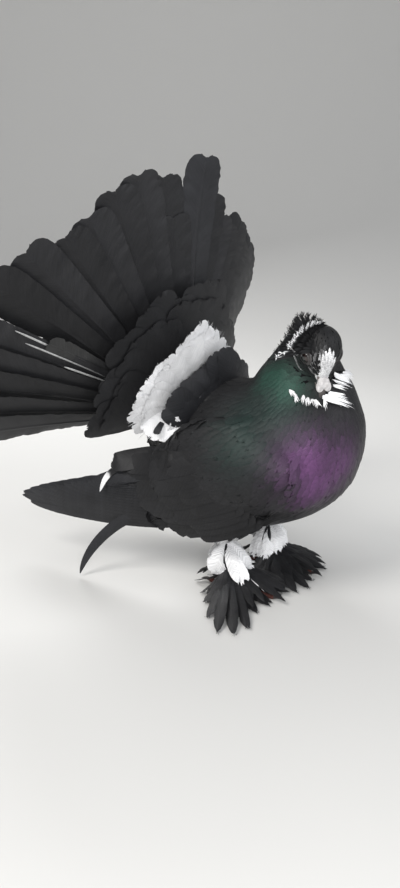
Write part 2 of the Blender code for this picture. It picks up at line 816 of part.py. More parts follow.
def crest_feathers():
    """The shell crest feather by feather, round the back of the crown."""
    a, u, r = head_axes()
    feathers = []
    for i in range(CREST_COUNT):
        t = i / (CREST_COUNT - 1)
        b = math.radians(CREST_TURN - CREST_SPREAD + 2 * CREST_SPREAD * t)
        outward = r * math.sin(b) - a * math.cos(b)
        reach = CREST_REACH[0] + (CREST_REACH[1] - CREST_REACH[0]) * t + 1.5 * (i % 2)
        path = []
        for k, wide in COVERT_SHAPE:
            out = 9 + (reach - 9) * k
            curl = 3.5 * k * k - 1
            path.append((vec(*HEAD_CENTRE) + (outward * out + u * curl) * MM, lapped(u, outward, k)))
        feathers.append(vane("crest", path, COVERT_SHAPE, CREST_HALF_WIDTH))
    return feathers


def bib_feathers(body):
    """The spray of feathers under the chin, laid along the surface of the neck."""
    corners = [v.co for v in body.data.vertices]
    skin = BVHTree.FromPolygons(corners, [tuple(p.vertices) for p in body.data.polygons])
    feathers = []
    for angle, reach in BIB_FEATHERS:
        b = math.radians(angle)
        outward = Vector((0.6, 0.8, 0)) * math.cos(b) + Vector((0, 0, 1)) * math.sin(b)
        path = []
        for (t, wide), lift in zip(COVERT_SHAPE, BIB_LIFT):
            point, normal, face, away = skin.find_nearest(vec(*BIB_ROOT) + outward * (reach * t * MM))
            path.append((point + normal * (lift * MM), normal))
        feathers.append(vane("bib", path, COVERT_SHAPE, BIB_HALF_WIDTH))
    return feathers


def build():
    body = body_form()
    clear = grown(body, BODY_GAP)

    head = head_form()
    combine(head, [lid(1), lid(-1)], "UNION")
    head_clear = grown(head)
    crest = crest_feathers()
    for feather in crest:
        combine(feather, [clear], "DIFFERENCE", keep=True)
    combine(head, crest, "UNION")
    eyes = [eye("eye_right", 1), eye("eye_left", -1)]
    combine(head, [grown(e) for e in eyes], "DIFFERENCE")

    upper, lower, cere = bill_half("bill_upper", True), bill_half("bill_lower", False), cere_form()
    upper_clear = grown(upper, BODY_GAP)
    combine(upper, [head_clear], "DIFFERENCE", keep=True)
    combine(lower, [head_clear], "DIFFERENCE", keep=True)
    combine(cere, [head_clear], "DIFFERENCE", keep=True)
    combine(cere, [upper_clear], "DIFFERENCE")

    normal = Vector(NECK_PLANE_NORMAL).normalized()
    split = Vector(NECK_PLANE_POINT)
    torso = duplicate(body, "torso")
    combine(torso, [half_space("above", split - normal * GAP / 2, normal)], "DIFFERENCE")
    neck = duplicate(body, "neck")
    combine(neck, [half_space("below", split + normal * GAP / 2, -normal)], "DIFFERENCE")
    combine(neck, bib_feathers(body), "UNION")
    combine(neck, [head_clear, bill_clear()], "DIFFERENCE")

    tails = tail_forms()
    for tail in tails:
        combine(tail, [clear], "DIFFERENCE", keep=True)
    tail_clears = [grown(tail) for tail in tails]
    claws = [claw(f"claw_right_{number}", *sizes) for number, sizes in enumerate(TOES, 1)]
    other_claws = [mirrored(c, c.name.replace("right", "left")) for c in claws]
    right = combine(foot_form("foot_right", 1), [grown(c) for c in claws], "DIFFERENCE")
    hindrances = [grown(piece) for piece in (*claws, *other_claws, right)]
    combine(foot_form("foot_left", -1), hindrances, "DIFFERENCE")
    leg = leg_form("leg_right")
    sides = [leg, mirrored(leg, "leg_left"), wing_form("wing_right", [stray_feather()])]
    sides.append(mirrored(wing_form("wing_form"), "wing_left"))
    bpy.data.objects.remove(bpy.data.objects["wing_form"])
    for piece in sides:
        combine(piece, [clear, *tail_clears], "DIFFERENCE", keep=True)
    for helper in (clear, *tail_clears, body):
        bpy.data.objects.remove(helper)

    for obj in bpy.data.objects:
        triangulated(obj)
        obj.data.materials.clear()
        obj.data.materials.append(material(obj.name, *FINISHES[obj.name.split("_")[0]]))
        obj.data.shade_smooth()
        obj.data.set_sharp_from_angle(angle=math.radians(40))
    centre_over_origin()


def centre_over_origin():
    """Moves the model so that the middle of its box is at x = y = 0."""
    corners = [v.co for obj in bpy.data.objects for v in obj.data.vertices]
    x = (min(c.x for c in corners) + max(c.x for c in corners)) / 2
    y = (min(c.y for c in corners) + max(c.y for c in corners)) / 2
    for obj in bpy.data.objects:
        obj.data.transform(Matrix.Translation((-x, -y, 0)))


clear_scene()
build()
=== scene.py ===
"""Looks of a standing fantail pigeon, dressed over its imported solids.

Sizes are millimetres in the bird's own frame: +X is the way it faces, +Y its left and +Z up from the
floor. Pieces are shaped in that frame and move over the solids, in metres, when they are finished.
"""

from __future__ import annotations

import logging
import math
import random
from dataclasses import dataclass
from enum import Enum
from itertools import product

import bmesh
import bpy
import numpy as np
from mathutils import Matrix, Vector
from mathutils.bvhtree import BVHTree


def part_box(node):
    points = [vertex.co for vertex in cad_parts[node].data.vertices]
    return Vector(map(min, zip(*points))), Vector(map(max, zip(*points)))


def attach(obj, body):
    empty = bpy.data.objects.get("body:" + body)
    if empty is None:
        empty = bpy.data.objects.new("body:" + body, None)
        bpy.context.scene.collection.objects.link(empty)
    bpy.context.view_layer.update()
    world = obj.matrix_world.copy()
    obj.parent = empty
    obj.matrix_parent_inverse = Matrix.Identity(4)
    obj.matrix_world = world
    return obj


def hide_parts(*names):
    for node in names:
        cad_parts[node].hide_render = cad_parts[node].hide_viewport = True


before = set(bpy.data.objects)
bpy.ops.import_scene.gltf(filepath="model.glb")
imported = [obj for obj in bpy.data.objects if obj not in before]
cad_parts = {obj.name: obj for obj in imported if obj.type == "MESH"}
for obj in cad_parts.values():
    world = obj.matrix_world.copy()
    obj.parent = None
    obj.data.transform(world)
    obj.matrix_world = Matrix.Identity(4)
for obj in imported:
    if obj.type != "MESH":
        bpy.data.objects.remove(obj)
LOG = logging.getLogger("pigeon")
MM = 0.001
SEED = 11
PATCH = 0.003
SHARP_ANGLE = math.radians(70)
FLOOR_GAP = 0.15

Array = np.ndarray
Colour = tuple[float, float, float]
Pair = tuple[float, float]
Triple = tuple[float, float, float]
Arrays = tuple[Array, Array]
Rows = Array | list | tuple
Piece = bpy.types.Object
Material = bpy.types.Material
Socket = bpy.types.NodeSocket
BMesh = bmesh.types.BMesh

BLACK: Colour = (0.009, 0.009, 0.010)
CHARCOAL: Colour = (0.0125, 0.0125, 0.0138)
SLATE: Colour = (0.020, 0.0205, 0.0235)
WHITE: Colour = (0.86, 0.86, 0.87)
GREY: Colour = (0.55, 0.55, 0.56)
NO_GLOSS: Colour = (0.0, 0.0, 0.0)


class Side(Enum):
    """The bird's own right and left."""

    RIGHT = 1
    LEFT = -1

    @property
    def word(self) -> str:
        """The side as pieces and solids are named for it."""
        return self.name.lower()

    def mirrored(self, point: tuple[float, ...]) -> Array:
        """A point given for the left side, on this side."""
        return np.array(point) * (1, -self.value, 1)


class Layer(Enum):
    """Layers of the crest, from the back to the front."""

    OUTER = 1
    EDGE = 2
    INNER = 3


def unit(rows: Array) -> Array:
    """Rows scaled to a length of one."""
    return rows / np.maximum(np.linalg.norm(rows, axis=-1, keepdims=True), 1e-9)


def smoothstep(value: Array | float, low: float, high: float) -> Array:
    """A soft step from nought at low to one at high."""
    t = np.clip((np.asarray(value, float) - low) / (high - low), 0, 1)
    return t * t * (3 - 2 * t)


def soft_step(value: float, low: float, high: float) -> float:
    """The soft step of one number."""
    return float(smoothstep(value, low, high))


def blended(a: Rows, b: Rows, share: Array | float) -> Array:
    """Rows a share of the way from one to the other."""
    return np.array(a) * (1 - share) + np.array(b) * share


def ramp(ends: Pair, t: float) -> float:
    """The number a share of the way between two."""
    return ends[0] + (ends[1] - ends[0]) * t


def turned(up: Array, axis: Array, degrees: float) -> Array:
    """A direction square to an axis, turned about it."""
    a = math.radians(degrees)
    return up * math.cos(a) + np.cross(axis, up) * math.sin(a)


def heading(degrees: float) -> Array:
    """The level direction at an angle from the way the bird faces, towards its left."""
    a = math.radians(degrees)
    return np.array((math.cos(a), math.sin(a), 0.0))


def mix(a: Pair, b: Pair, t: float) -> Pair:
    """The point a share of the way between two."""
    return ramp((a[0], b[0]), t), ramp((a[1], b[1]), t)


def between(keys: tuple, count: int) -> list[tuple[float, ...]]:
    """Adds sections between named ones, on a smooth curve through them.

    Args:
        keys: the named sections, each a tuple of numbers.
        count: how many sections are added in each gap.

    Returns:
        All sections from the first to the last.
    """
    last = len(keys) - 1
    out = []
    for i in range(last):
        p, q, r, s = (np.array(keys[k], float) for k in (max(i - 1, 0), i, i + 1, min(i + 2, last)))
        for k in range(count + 1):
            t = k / (count + 1)
            m, n = (r - p) / 2, (s - q) / 2
            value = (2 * t**3 - 3 * t**2 + 1) * q + (t**3 - 2 * t**2 + t) * m
            out.append(tuple(value + (3 * t**2 - 2 * t**3) * r + (t**3 - t**2) * n))
    out.append(tuple(float(v) for v in keys[last]))
    return out


@dataclass(frozen=True)
class HeadFrame:
    """Place and turn of the head. Its own directions run along the bill, up through the crown and right."""

    centre: Triple = (49.2, -17.5, 166.5)
    yaw: float = -24.6
    pitch: float = -82.0

    def axes(self) -> Array:
        """The three directions as rows."""
        yaw, pitch = math.radians(self.yaw), math.radians(self.pitch)
        flat = math.cos(pitch)
        along = np.array((math.cos(yaw) * flat, math.sin(yaw) * flat, math.sin(pitch)))
        right = np.array((math.sin(yaw), -math.cos(yaw), 0.0))
        return np.array((along, np.cross(right, along), right))

    def point(self, along: float, up: float, right: float) -> Array:
        """A point of the bird's frame from distances on the head."""
        return np.array(self.centre) + np.array((along, up, right)) @ self.axes()

    def local(self, points: Array) -> Array:
        """Distances on the head from points of the bird's frame."""
        return (np.asarray(points, float) - np.array(self.centre)) @ self.axes().T


HEAD = HeadFrame()
PACKED_EYE = (4.2, 1.0, 10.4)
EYE = (4.9, -0.6, 10.3)
TOES: tuple[Pair, ...] = ((2, 29), (-36, 24), (38, 22), (176, 22))
NEIGHBOURS = tuple(product((-1, 0, 1), repeat=3))


def packed_shift() -> Array:
    """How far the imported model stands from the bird's own frame, told by its right eye."""
    low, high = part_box("eye_right")
    return np.array((low + high) / 2) / MM - HEAD.point(*PACKED_EYE)


SHIFT = packed_shift()


class Graph:
    """A node material built by short calls."""

    def __init__(self, name: str) -> None:
        """Starts from a plain surface shader."""
        self.material = bpy.data.materials.new(name)
        self.material.use_nodes = True
        self.tree = self.material.node_tree
        self.surface = self.tree.nodes["Principled BSDF"]

    def add(self, kind: str, inputs: dict | None = None, **settings: object) -> bpy.types.Node:
        """Adds a node.

        Args:
            kind: the node's type, without its leading ShaderNode.
            inputs: values or sockets by input name or number.
            settings: properties of the node.

        Returns:
            The new node.
        """
        node = self.tree.nodes.new("ShaderNode" + kind)
        for key, value in settings.items():
            setattr(node, key, value)
        for key, value in (inputs or {}).items():
            self.feed(node.inputs[key], value)
        return node

    def feed(self, socket: Socket, value: object) -> None:
        """Sets an input to a value, or links it to an output."""
        if isinstance(value, Socket):
            self.tree.links.new(value, socket)
        else:
            socket.default_value = value

    def attribute(self, name: str, output: str = "Color") -> Socket:
        """What a piece stores under a name."""
        return self.add("Attribute", attribute_name=name).outputs[output]

    def place(self) -> Socket:
        """The place on the piece."""
        return self.add("TexCoord").outputs["Object"]

    def math(self, operation: str, a: object, b: object = 0.0) -> Socket:
        """The result of a sum on two numbers."""
        return self.add("Math", {0: a, 1: b}, operation=operation).outputs[0]

    def spread(
        self, value: object, low: float, high: float, start: float = 0.3, end: float = 0.7
    ) -> Socket:
        """A number moved from the range of start and end to that of low and high."""
        ends = {"Value": value, "From Min": start, "From Max": end, "To Min": low, "To Max": high}
        return self.add("MapRange", ends).outputs["Result"]

    def noise(self, vector: object, scale: float, detail: float = 2.0) -> Socket:
        """Soft noise at a scale."""
        return self.add("TexNoise", {"Vector": vector, "Scale": scale, "Detail": detail}).outputs["Fac"]

    def scaled(self, vector: object, scale: object) -> Socket:
        """A colour made lighter or darker by a number."""
        return self.add("VectorMath", {0: vector, "Scale": scale}, operation="SCALE").outputs[0]

    def blend(self, share: object, a: object, b: object) -> Socket:
        """Two colours mixed by a share."""
        node = self.add("Mix", data_type="RGBA")
        for key, value in ((0, share), (6, a), (7, b)):
            self.feed(node.inputs[key], value)
        return node.outputs[2]

    def bump(self, height: object, distance: float, strength: float) -> None:
        """Raises the surface by a height, in metres at most distance."""
        node = self.add("Bump", {"Height": height, "Distance": distance, "Strength": strength})
        self.feed(self.surface.inputs["Normal"], node.outputs["Normal"])

    def finish(self, **values: object) -> Material:
        """Sets the surface's own inputs, with spaces for underscores, and gives the material."""
        for key, value in values.items():
            self.feed(self.surface.inputs[key.replace("_", " ")], value)
        return self.material


@dataclass(frozen=True)
class FeatherFinish:
    """Barbed vane. Its colour and gloss come from the feather's attributes, its barbs from its own map.

    Barbs lean back from the shaft. Cycles of barbs and of clouds are counted along the map and in the metre.
    """

    name: str
    roughness: float = 0.52
    sheen: float = 0.04
    specular: float = 0.26
    barbs: float = 0.35
    lean: float = 0.9
    depth: float = 0.00012
    barb_cycles: float = 30.0
    cloud_cycles: float = 60.0

    def material(self) -> Material:
        """Builds the material."""
        g = Graph(self.name)
        place = g.add("SeparateXYZ", {0: g.add("UVMap", uv_map="Vane").outputs[0]})
        across, along = place.outputs[0], place.outputs[1]
        slant = g.math("SUBTRACT", along, g.math("MULTIPLY", g.math("ABSOLUTE", across), self.lean))
        crossing, drift = (g.math("MULTIPLY", slant, scale) for scale in (self.barb_cycles, 0.6))
        line = g.add("CombineXYZ", {0: crossing, 1: across, 2: drift})
        barbs = g.noise(line.outputs[0], 1.0, 3.0)
        clouds = g.noise(g.place(), self.cloud_cycles)
        shade = g.spread(barbs, 1 - self.barbs, 1 + self.barbs)
        tone = g.math("MULTIPLY", shade, g.spread(clouds, 0.85, 1.15))
        plumage = g.attribute("Plumage")
        gloss = g.attribute("Gloss")
        facing = g.add("LayerWeight", {"Blend": 0.35}).outputs["Facing"]
        shine = g.math("MULTIPLY", g.spread(facing, 1.0, 0.25, 0.0, 0.8), g.spread(barbs, 0.75, 1.2))
        glow = {0: g.scaled(plumage, tone), 1: g.scaled(gloss, shine)}
        colour = g.add("VectorMath", glow, operation="ADD").outputs[0]
        g.bump(barbs, self.depth, 0.5)
        g.finish(Sheen_Weight=self.sheen, Specular_IOR_Level=self.specular)
        return g.finish(Base_Color=colour, Roughness=self.roughness)


@dataclass(frozen=True)
class DownFinish:
    """Skin under the feathers, seen only between them as soft down."""

    name: str
    fluff_cycles: float = 900.0
    depth: float = 0.0004

    def material(self) -> Material:
        """Builds the material."""
        g = Graph(self.name)
        fluff = g.noise(g.place(), self.fluff_cycles, 4.0)
        plumage = g.attribute("Plumage")
        colour = g.scaled(plumage, g.spread(fluff, 0.6, 1.3))
        g.bump(fluff, self.depth, 0.8)
        return g.finish(Base_Color=colour, Roughness=0.95, Specular_IOR_Level=0.1)


@dataclass(frozen=True)
class HornFinish:
    """Horn or bare skin: a base colour, mottled with a second one, over a fine grain."""

    name: str
    base: Colour
    mottle: Colour
    grain: float = 700.0
    roughness: float = 0.4
    depth: float = 0.0001
    powder: float = 0.0

    def material(self) -> Material:
        """Builds the material."""
        g = Graph(self.name)
        place = g.place()
        patches = g.spread(g.noise(place, self.grain * 0.35, 3.0), 0.0, 1.0, 0.4, 0.62)
        grain = g.noise(place, self.grain, 4.0)
        colour = g.blend(patches, (*self.base, 1), (*self.mottle, 1))
        rough = g.spread(grain, self.roughness * 0.8, self.roughness * 1.25)
        g.bump(grain, self.depth, 0.6)
        return g.finish(Base_Color=colour, Roughness=rough, Sheen_Weight=self.powder)


@dataclass(frozen=True)
class TintedHornFinish:
    """Horn that darkens towards its tip by the piece's own attribute."""

    name: str
    base: Colour
    tip: Colour
    roughness: float = 0.32

    def material(self) -> Material:
        """Builds the material."""
        g = Graph(self.name)
        share = g.attribute("Share", "Fac")
        grain = g.noise(g.place(), 1100.0, 3.0)
        edge = g.math("ADD", share, g.spread(grain, -0.12, 0.12))
        colour = g.blend(g.spread(edge, 0.0, 1.0, 0.25, 0.85), (*self.base, 1), (*self.tip, 1))
        g.bump(grain, 0.00005, 0.4)
        return g.finish(Base_Color=colour, Roughness=self.roughness, Coat_Weight=0.15)


@dataclass(frozen=True)
class EyeFinish:
    """Clear dark eye: pupil, iris and rim told by the angle from its middle."""

    name: str
    pupil: float = 0.30
    iris: float = 0.62
    black: Colour = (0.003, 0.003, 0.003)
    inner: Colour = (0.018, 0.006, 0.004)
    outer: Colour = (0.011, 0.005, 0.004)
    rim: Colour = (0.01, 0.008, 0.008)

    def material(self) -> Material:
        """Builds the material."""
        g = Graph(self.name)
        share = g.attribute("Share", "Fac")
        ramp = g.add("ValToRGB", {"Fac": share})
        stops = ramp.color_ramp.elements
        stops[0].position, stops[0].color = self.pupil, (*self.black, 1)
        stops[1].position, stops[1].color = self.pupil + 0.04, (*self.inner, 1)
        stops.new(self.iris - 0.12).color = (*self.outer, 1)
        stops.new(self.iris).color = (*self.rim, 1)
        colour = ramp.outputs["Color"]
        return g.finish(Base_Color=colour, Roughness=0.12, Coat_Weight=1.0, Coat_Roughness=0.03)


@dataclass(frozen=True)
class PlainFinish:
    """Pale, even studio surface."""

    name: str
    colour: Colour = (0.66, 0.655, 0.64)

    def material(self) -> Material:
        """Builds the material."""
        return Graph(self.name).finish(Base_Color=(*self.colour, 1), Roughness=0.85)


def finish_piece(obj: Piece, material: Material, slot: str, nodes: tuple[str, ...] = ()) -> None:
    """Moves a finished piece over the solids and ties it to them.

    Args:
        obj: the piece, in the bird's frame in millimetres.
        material: its finish.
        slot: the record's material slot; not used.
        nodes: the solids that it stands for.
    """
    obj.data.transform(Matrix.Translation(Vector(SHIFT * MM)) @ Matrix.Scale(MM, 4))
    obj.data.materials.clear()
    obj.data.materials.append(material)
    obj.data.shade_smooth()
    obj.data.set_sharp_from_angle(angle=SHARP_ANGLE)
    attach(obj, "root")
    if nodes:
        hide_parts(*nodes)
    LOG.info("%s: %d faces", obj.name, len(obj.data.polygons))


def link_mesh(name: str, bm: BMesh) -> Piece:
    """Turns a bmesh into an object with its faces pointing out.

    Args:
        name: the piece's name.
        bm: its mesh, freed here.

    Returns:
        The piece.
    """
    bmesh.ops.recalc_face_normals(bm, faces=bm.faces)
    mesh = bpy.data.meshes.new(name)
    bm.to_mesh(mesh)
    bm.free()
    obj = bpy.data.objects.new(name, mesh)
    bpy.context.scene.collection.objects.link(obj)
    return obj


def array_mesh(name: str, coords: Array, faces: Array) -> Piece:
    """Turns joined arrays of corners and four-sided faces into an object.

    Args:
        name: the piece's name.
        coords: a row for each corner.
        faces: a row of corner numbers for each face.

    Returns:
        The piece.
    """
    mesh = bpy.data.meshes.new(name)
    mesh.vertices.add(len(coords))
    mesh.vertices.foreach_set("co", coords.astype(np.float32).ravel())
    mesh.loops.add(faces.size)
    mesh.loops.foreach_set("vertex_index", faces.astype(np.int32).ravel())
    mesh.polygons.add(len(faces))
    mesh.polygons.foreach_set("loop_start", np.arange(0, faces.size, 4, dtype=np.int32))
    mesh.update(calc_edges=True)
    obj = bpy.data.objects.new(name, mesh)
    bpy.context.scene.collection.objects.link(obj)
    return obj


def paint(mesh: bpy.types.Mesh, name: str, values: Array) -> None:
    """Stores a colour for each corner of a mesh under a name."""
    layer = mesh.color_attributes.new(name, "FLOAT_COLOR", "POINT")
    rows = np.ones((len(mesh.vertices), 4), np.float32)
    rows[:, :3] = values
    layer.data.foreach_set("color", rows.ravel())


def store_share(mesh: bpy.types.Mesh, values: list[float]) -> None:
    """Stores one number for each corner of a mesh under the name Share."""
    layer = mesh.attributes.new("Share", "FLOAT", "POINT")
    layer.data.foreach_set("value", np.array(values, np.float32))


def store_map(mesh: bpy.types.Mesh, name: str, corners: Array) -> None:
    """Stores a map from a place for each vertex of a mesh."""
    loops = np.zeros(len(mesh.loops), np.int32)
    mesh.loops.foreach_get("vertex_index", loops)
    layer = mesh.uv_layers.new(name=name)
    layer.data.foreach_set("uv", corners[loops].astype(np.float32).ravel())


def remeshed(name: str, bm: BMesh, voxel: float, rounds: int) -> Piece:
    """Joins overlapping closed forms in one smooth skin.

    Args:
        name: the piece's name.
        bm: the closed forms.
        voxel: size of the skin's faces.
        rounds: how often it is smoothed.

    Returns:
        The piece, its modifiers applied.
    """
    obj = link_mesh(name, bm)
    even = obj.modifiers.new("even", "REMESH")
    even.mode, even.voxel_size = "VOXEL", voxel
    soft = obj.modifiers.new("soft", "SMOOTH")
    soft.factor, soft.iterations = 0.5, rounds
    graph = bpy.context.evaluated_depsgraph_get()
    mesh = bpy.data.meshes.new_from_object(obj.evaluated_get(graph))
    obj.modifiers.clear()
    obj.data = mesh
    return obj


def ball(bm: BMesh, centre: Triple | Array, turn: Matrix, radii: tuple[float, ...]) -> None:
    """Adds a sphere stretched to three radii, turned and set at a place."""
    place = Matrix.Translation(Vector(centre)) @ turn @ Matrix.Diagonal((*radii, 1))
    bmesh.ops.create_uvsphere(bm, u_segments=32, v_segments=18, radius=1.0, matrix=place)


def ring_matrix(centre: Rows, side: Array, up: Array, half_side: float, half_up: float) -> Matrix:
    """The matrix that turns a unit circle into an ellipse about a centre."""
    columns = (side * half_side, up * half_up, np.cross(side, up), centre)
    rows = [[float(column[k]) for column in columns] for k in range(3)]
    return Matrix((*rows, (0, 0, 0, 1)))


def ring_edges(loop: list[bmesh.types.BMVert]) -> list[bmesh.types.BMEdge]:
    """The edges that join the corners of one ring."""
    own = set(loop)
    return list({edge for vert in loop for edge in vert.link_edges if set(edge.verts) <= own})


def loft(bm: BMesh, rings: list[tuple], turns: int) -> list[list[bmesh.types.BMVert]]:
    """Adds a closed tube through elliptical rings.

    Args:
        bm: the mesh that it is added to.
        rings: centre, two directions and the half size along each, for every ring.
        turns: corners of a ring.

    Returns:
        The corners of each ring.
    """
    size = {"cap_ends": False, "segments": turns, "radius": 1.0}
    loops = [bmesh.ops.create_circle(bm, matrix=ring_matrix(*ring), **size)["verts"] for ring in rings]
    for low, high in zip(loops, loops[1:]):
        bmesh.ops.bridge_loops(bm, edges=ring_edges(low) + ring_edges(high))
    for loop in (loops[0], loops[-1]):
        bmesh.ops.contextual_create(bm, geom=ring_edges(loop))
    return loops


def ring_shares(bm: BMesh, loops: list[list[bmesh.types.BMVert]]) -> dict[int, float]:
    """The share of a tube's length at each of its corners, by their number."""
    bm.verts.index_update()
    return {vert.index: k / (len(loops) - 1) for k, loop in enumerate(loops) for vert in loop}


def lens_grid(columns: int, rows: int) -> Arrays:
    """A closed lens of two grids that meet at their edges.

    Args:
        columns: faces across.
        rows: faces along.

    Returns:
        Corners as (across from -1 to 1, along from 0 to 1, face of 1, 0 or -1), and faces.
    """
    bm = bmesh.new()
    for face in (1.0, -1.0):
        verts = bmesh.ops.create_grid(bm, x_segments=columns, y_segments=rows, size=1.0)["verts"]
        for vert in verts:
            if max(abs(vert.co.x), abs(vert.co.y)) < 0.999:
                vert.co.z = face
        if face < 0:
            bmesh.ops.reverse_faces(bm, faces=list({f for v in verts for f in v.link_faces}))
    bmesh.ops.remove_doubles(bm, verts=bm.verts, dist=1e-4)
    bm.verts.index_update()
    corners = np.array([v.co for v in bm.verts])
    faces = np.array([[v.index for v in f.verts] for f in bm.faces])
    bm.free()
    corners[:, 1] = (corners[:, 1] + 1) / 2
    return corners, faces


def lagrange(t: Array, count: int) -> Arrays:
    """Weights of evenly spaced points on the smooth curve through them, and of its slope.

    Args:
        t: places on the curve from 0 to 1.
        count: how many points it passes.

    Returns:
        The weights and the slope's weights, each a row for every place.
    """
    knots = np.linspace(0, 1, count)
    powers = np.vander(knots, count, increasing=True)
    solve = np.linalg.inv(powers)
    weights = np.vander(t, count, increasing=True) @ solve
    slopes = np.array([[k * x ** (k - 1) if k else 0.0 for k in range(count)] for x in t]) @ solve
    return weights, slopes


@dataclass(frozen=True)
class Cut:
    """How one kind of feather is cut.

    The half width grows from its root share by a power of the length, and closes round at the tip. Columns
    crowd to the shaft and barbs sweep towards the tip. The edge is ragged, with notches where barbs part and
    ruffles up and down, and the end of the vane is jagged by a share of its length.
    """

    rows: int = 6
    columns: int = 4
    root: float = 0.35
    growth: float = 0.7
    tip: float = 5.0
    blunt: float = 0.5
    thickness: float = 0.3
    rib: float = 0.15
    camber: float = 0.12
    crowd: float = 1.2
    sweep: float = 0.3
    ragged: float = 0.08
    splits: float = 0.0
    notch: float = 0.3
    ruffle: float = 0.0
    jag: float = 0.0


BODY_CUT = Cut(5, 6, 0.5, 0.6, 2.6, 0.7, 0.08, 0.03, 0.10, 1.0, 0.45, 0.10, ruffle=0.05, jag=0.22)
UNDER_CUT = Cut(4, 4, 0.5, 0.6, 2.5, 0.6, 0.08, 0.0, 0.10, 1.1, 0.30, 0.04, jag=0.1)
HEAD_CUT = Cut(4, 4, 0.6, 0.7, 2.4, 0.8, 0.03, 0.0, 0.05, 1.0, 0.35, 0.06, jag=0.16)
QUILL_CUT = Cut(60, 10, 0.10, 0.75, 17.0, 0.5, 0.35, 0.70, 0.07, 1.9, 0.40, 0.010, 0.010, 0.20, 0.08, 0.006)
FLIGHT_CUT = Cut(36, 8, 0.25, 0.5, 4.0, 0.65, 0.30, 0.4, 0.10, 1.7, 0.45, 0.02, 0.01, 0.25, 0.06, 0.01)
COVERT_CUT = Cut(14, 8, 0.4, 0.55, 6.0, 0.5, 0.14, 0.08, 0.06, 1.3, 0.35, 0.03, 0.02, 0.2, 0.06, 0.05)
FRINGED_CUT = Cut(10, 14, 0.4, 0.6, 6.0, 0.5, 0.12, 0.03, 0.03, 1.0, 0.35, 0.10, 0.0, 0.2, 0.05, 0.12)
PLUME_CUT = Cut(8, 6, 0.45, 0.6, 2.2, 0.8, 0.12, 0.05, 0.1, 1.0, 0.4, 0.08, 0.0, 0.2, 0.2, 0.16)
BARB_CUT = Cut(4, 2, 0.8, 1.0, 2.5, 1.0, 0.16, 0.0, 0.0, 1.0, 0.0, 0.0)
STRAND_CUT = Cut(6, 2, 0.7, 0.5, 1.7, 1.0, 0.22, 0.0, 0.05, 1.0, 0.0, 0.0)
MUFF_CUT = Cut(20, 8, 0.22, 0.6, 2.6, 0.75, 0.25, 0.30, 0.12, 1.5, 0.5, 0.05, 0.07, 0.45, 0.25, 0.07)


@dataclass
class Dress:
    """Colours of one feather: at its root and tip, where one fades to the other, and its gloss."""

    root: Colour = CHARCOAL
    tip: Colour = CHARCOAL
    fade: Pair = (0.4, 0.7)
    gloss: Colour = NO_GLOSS


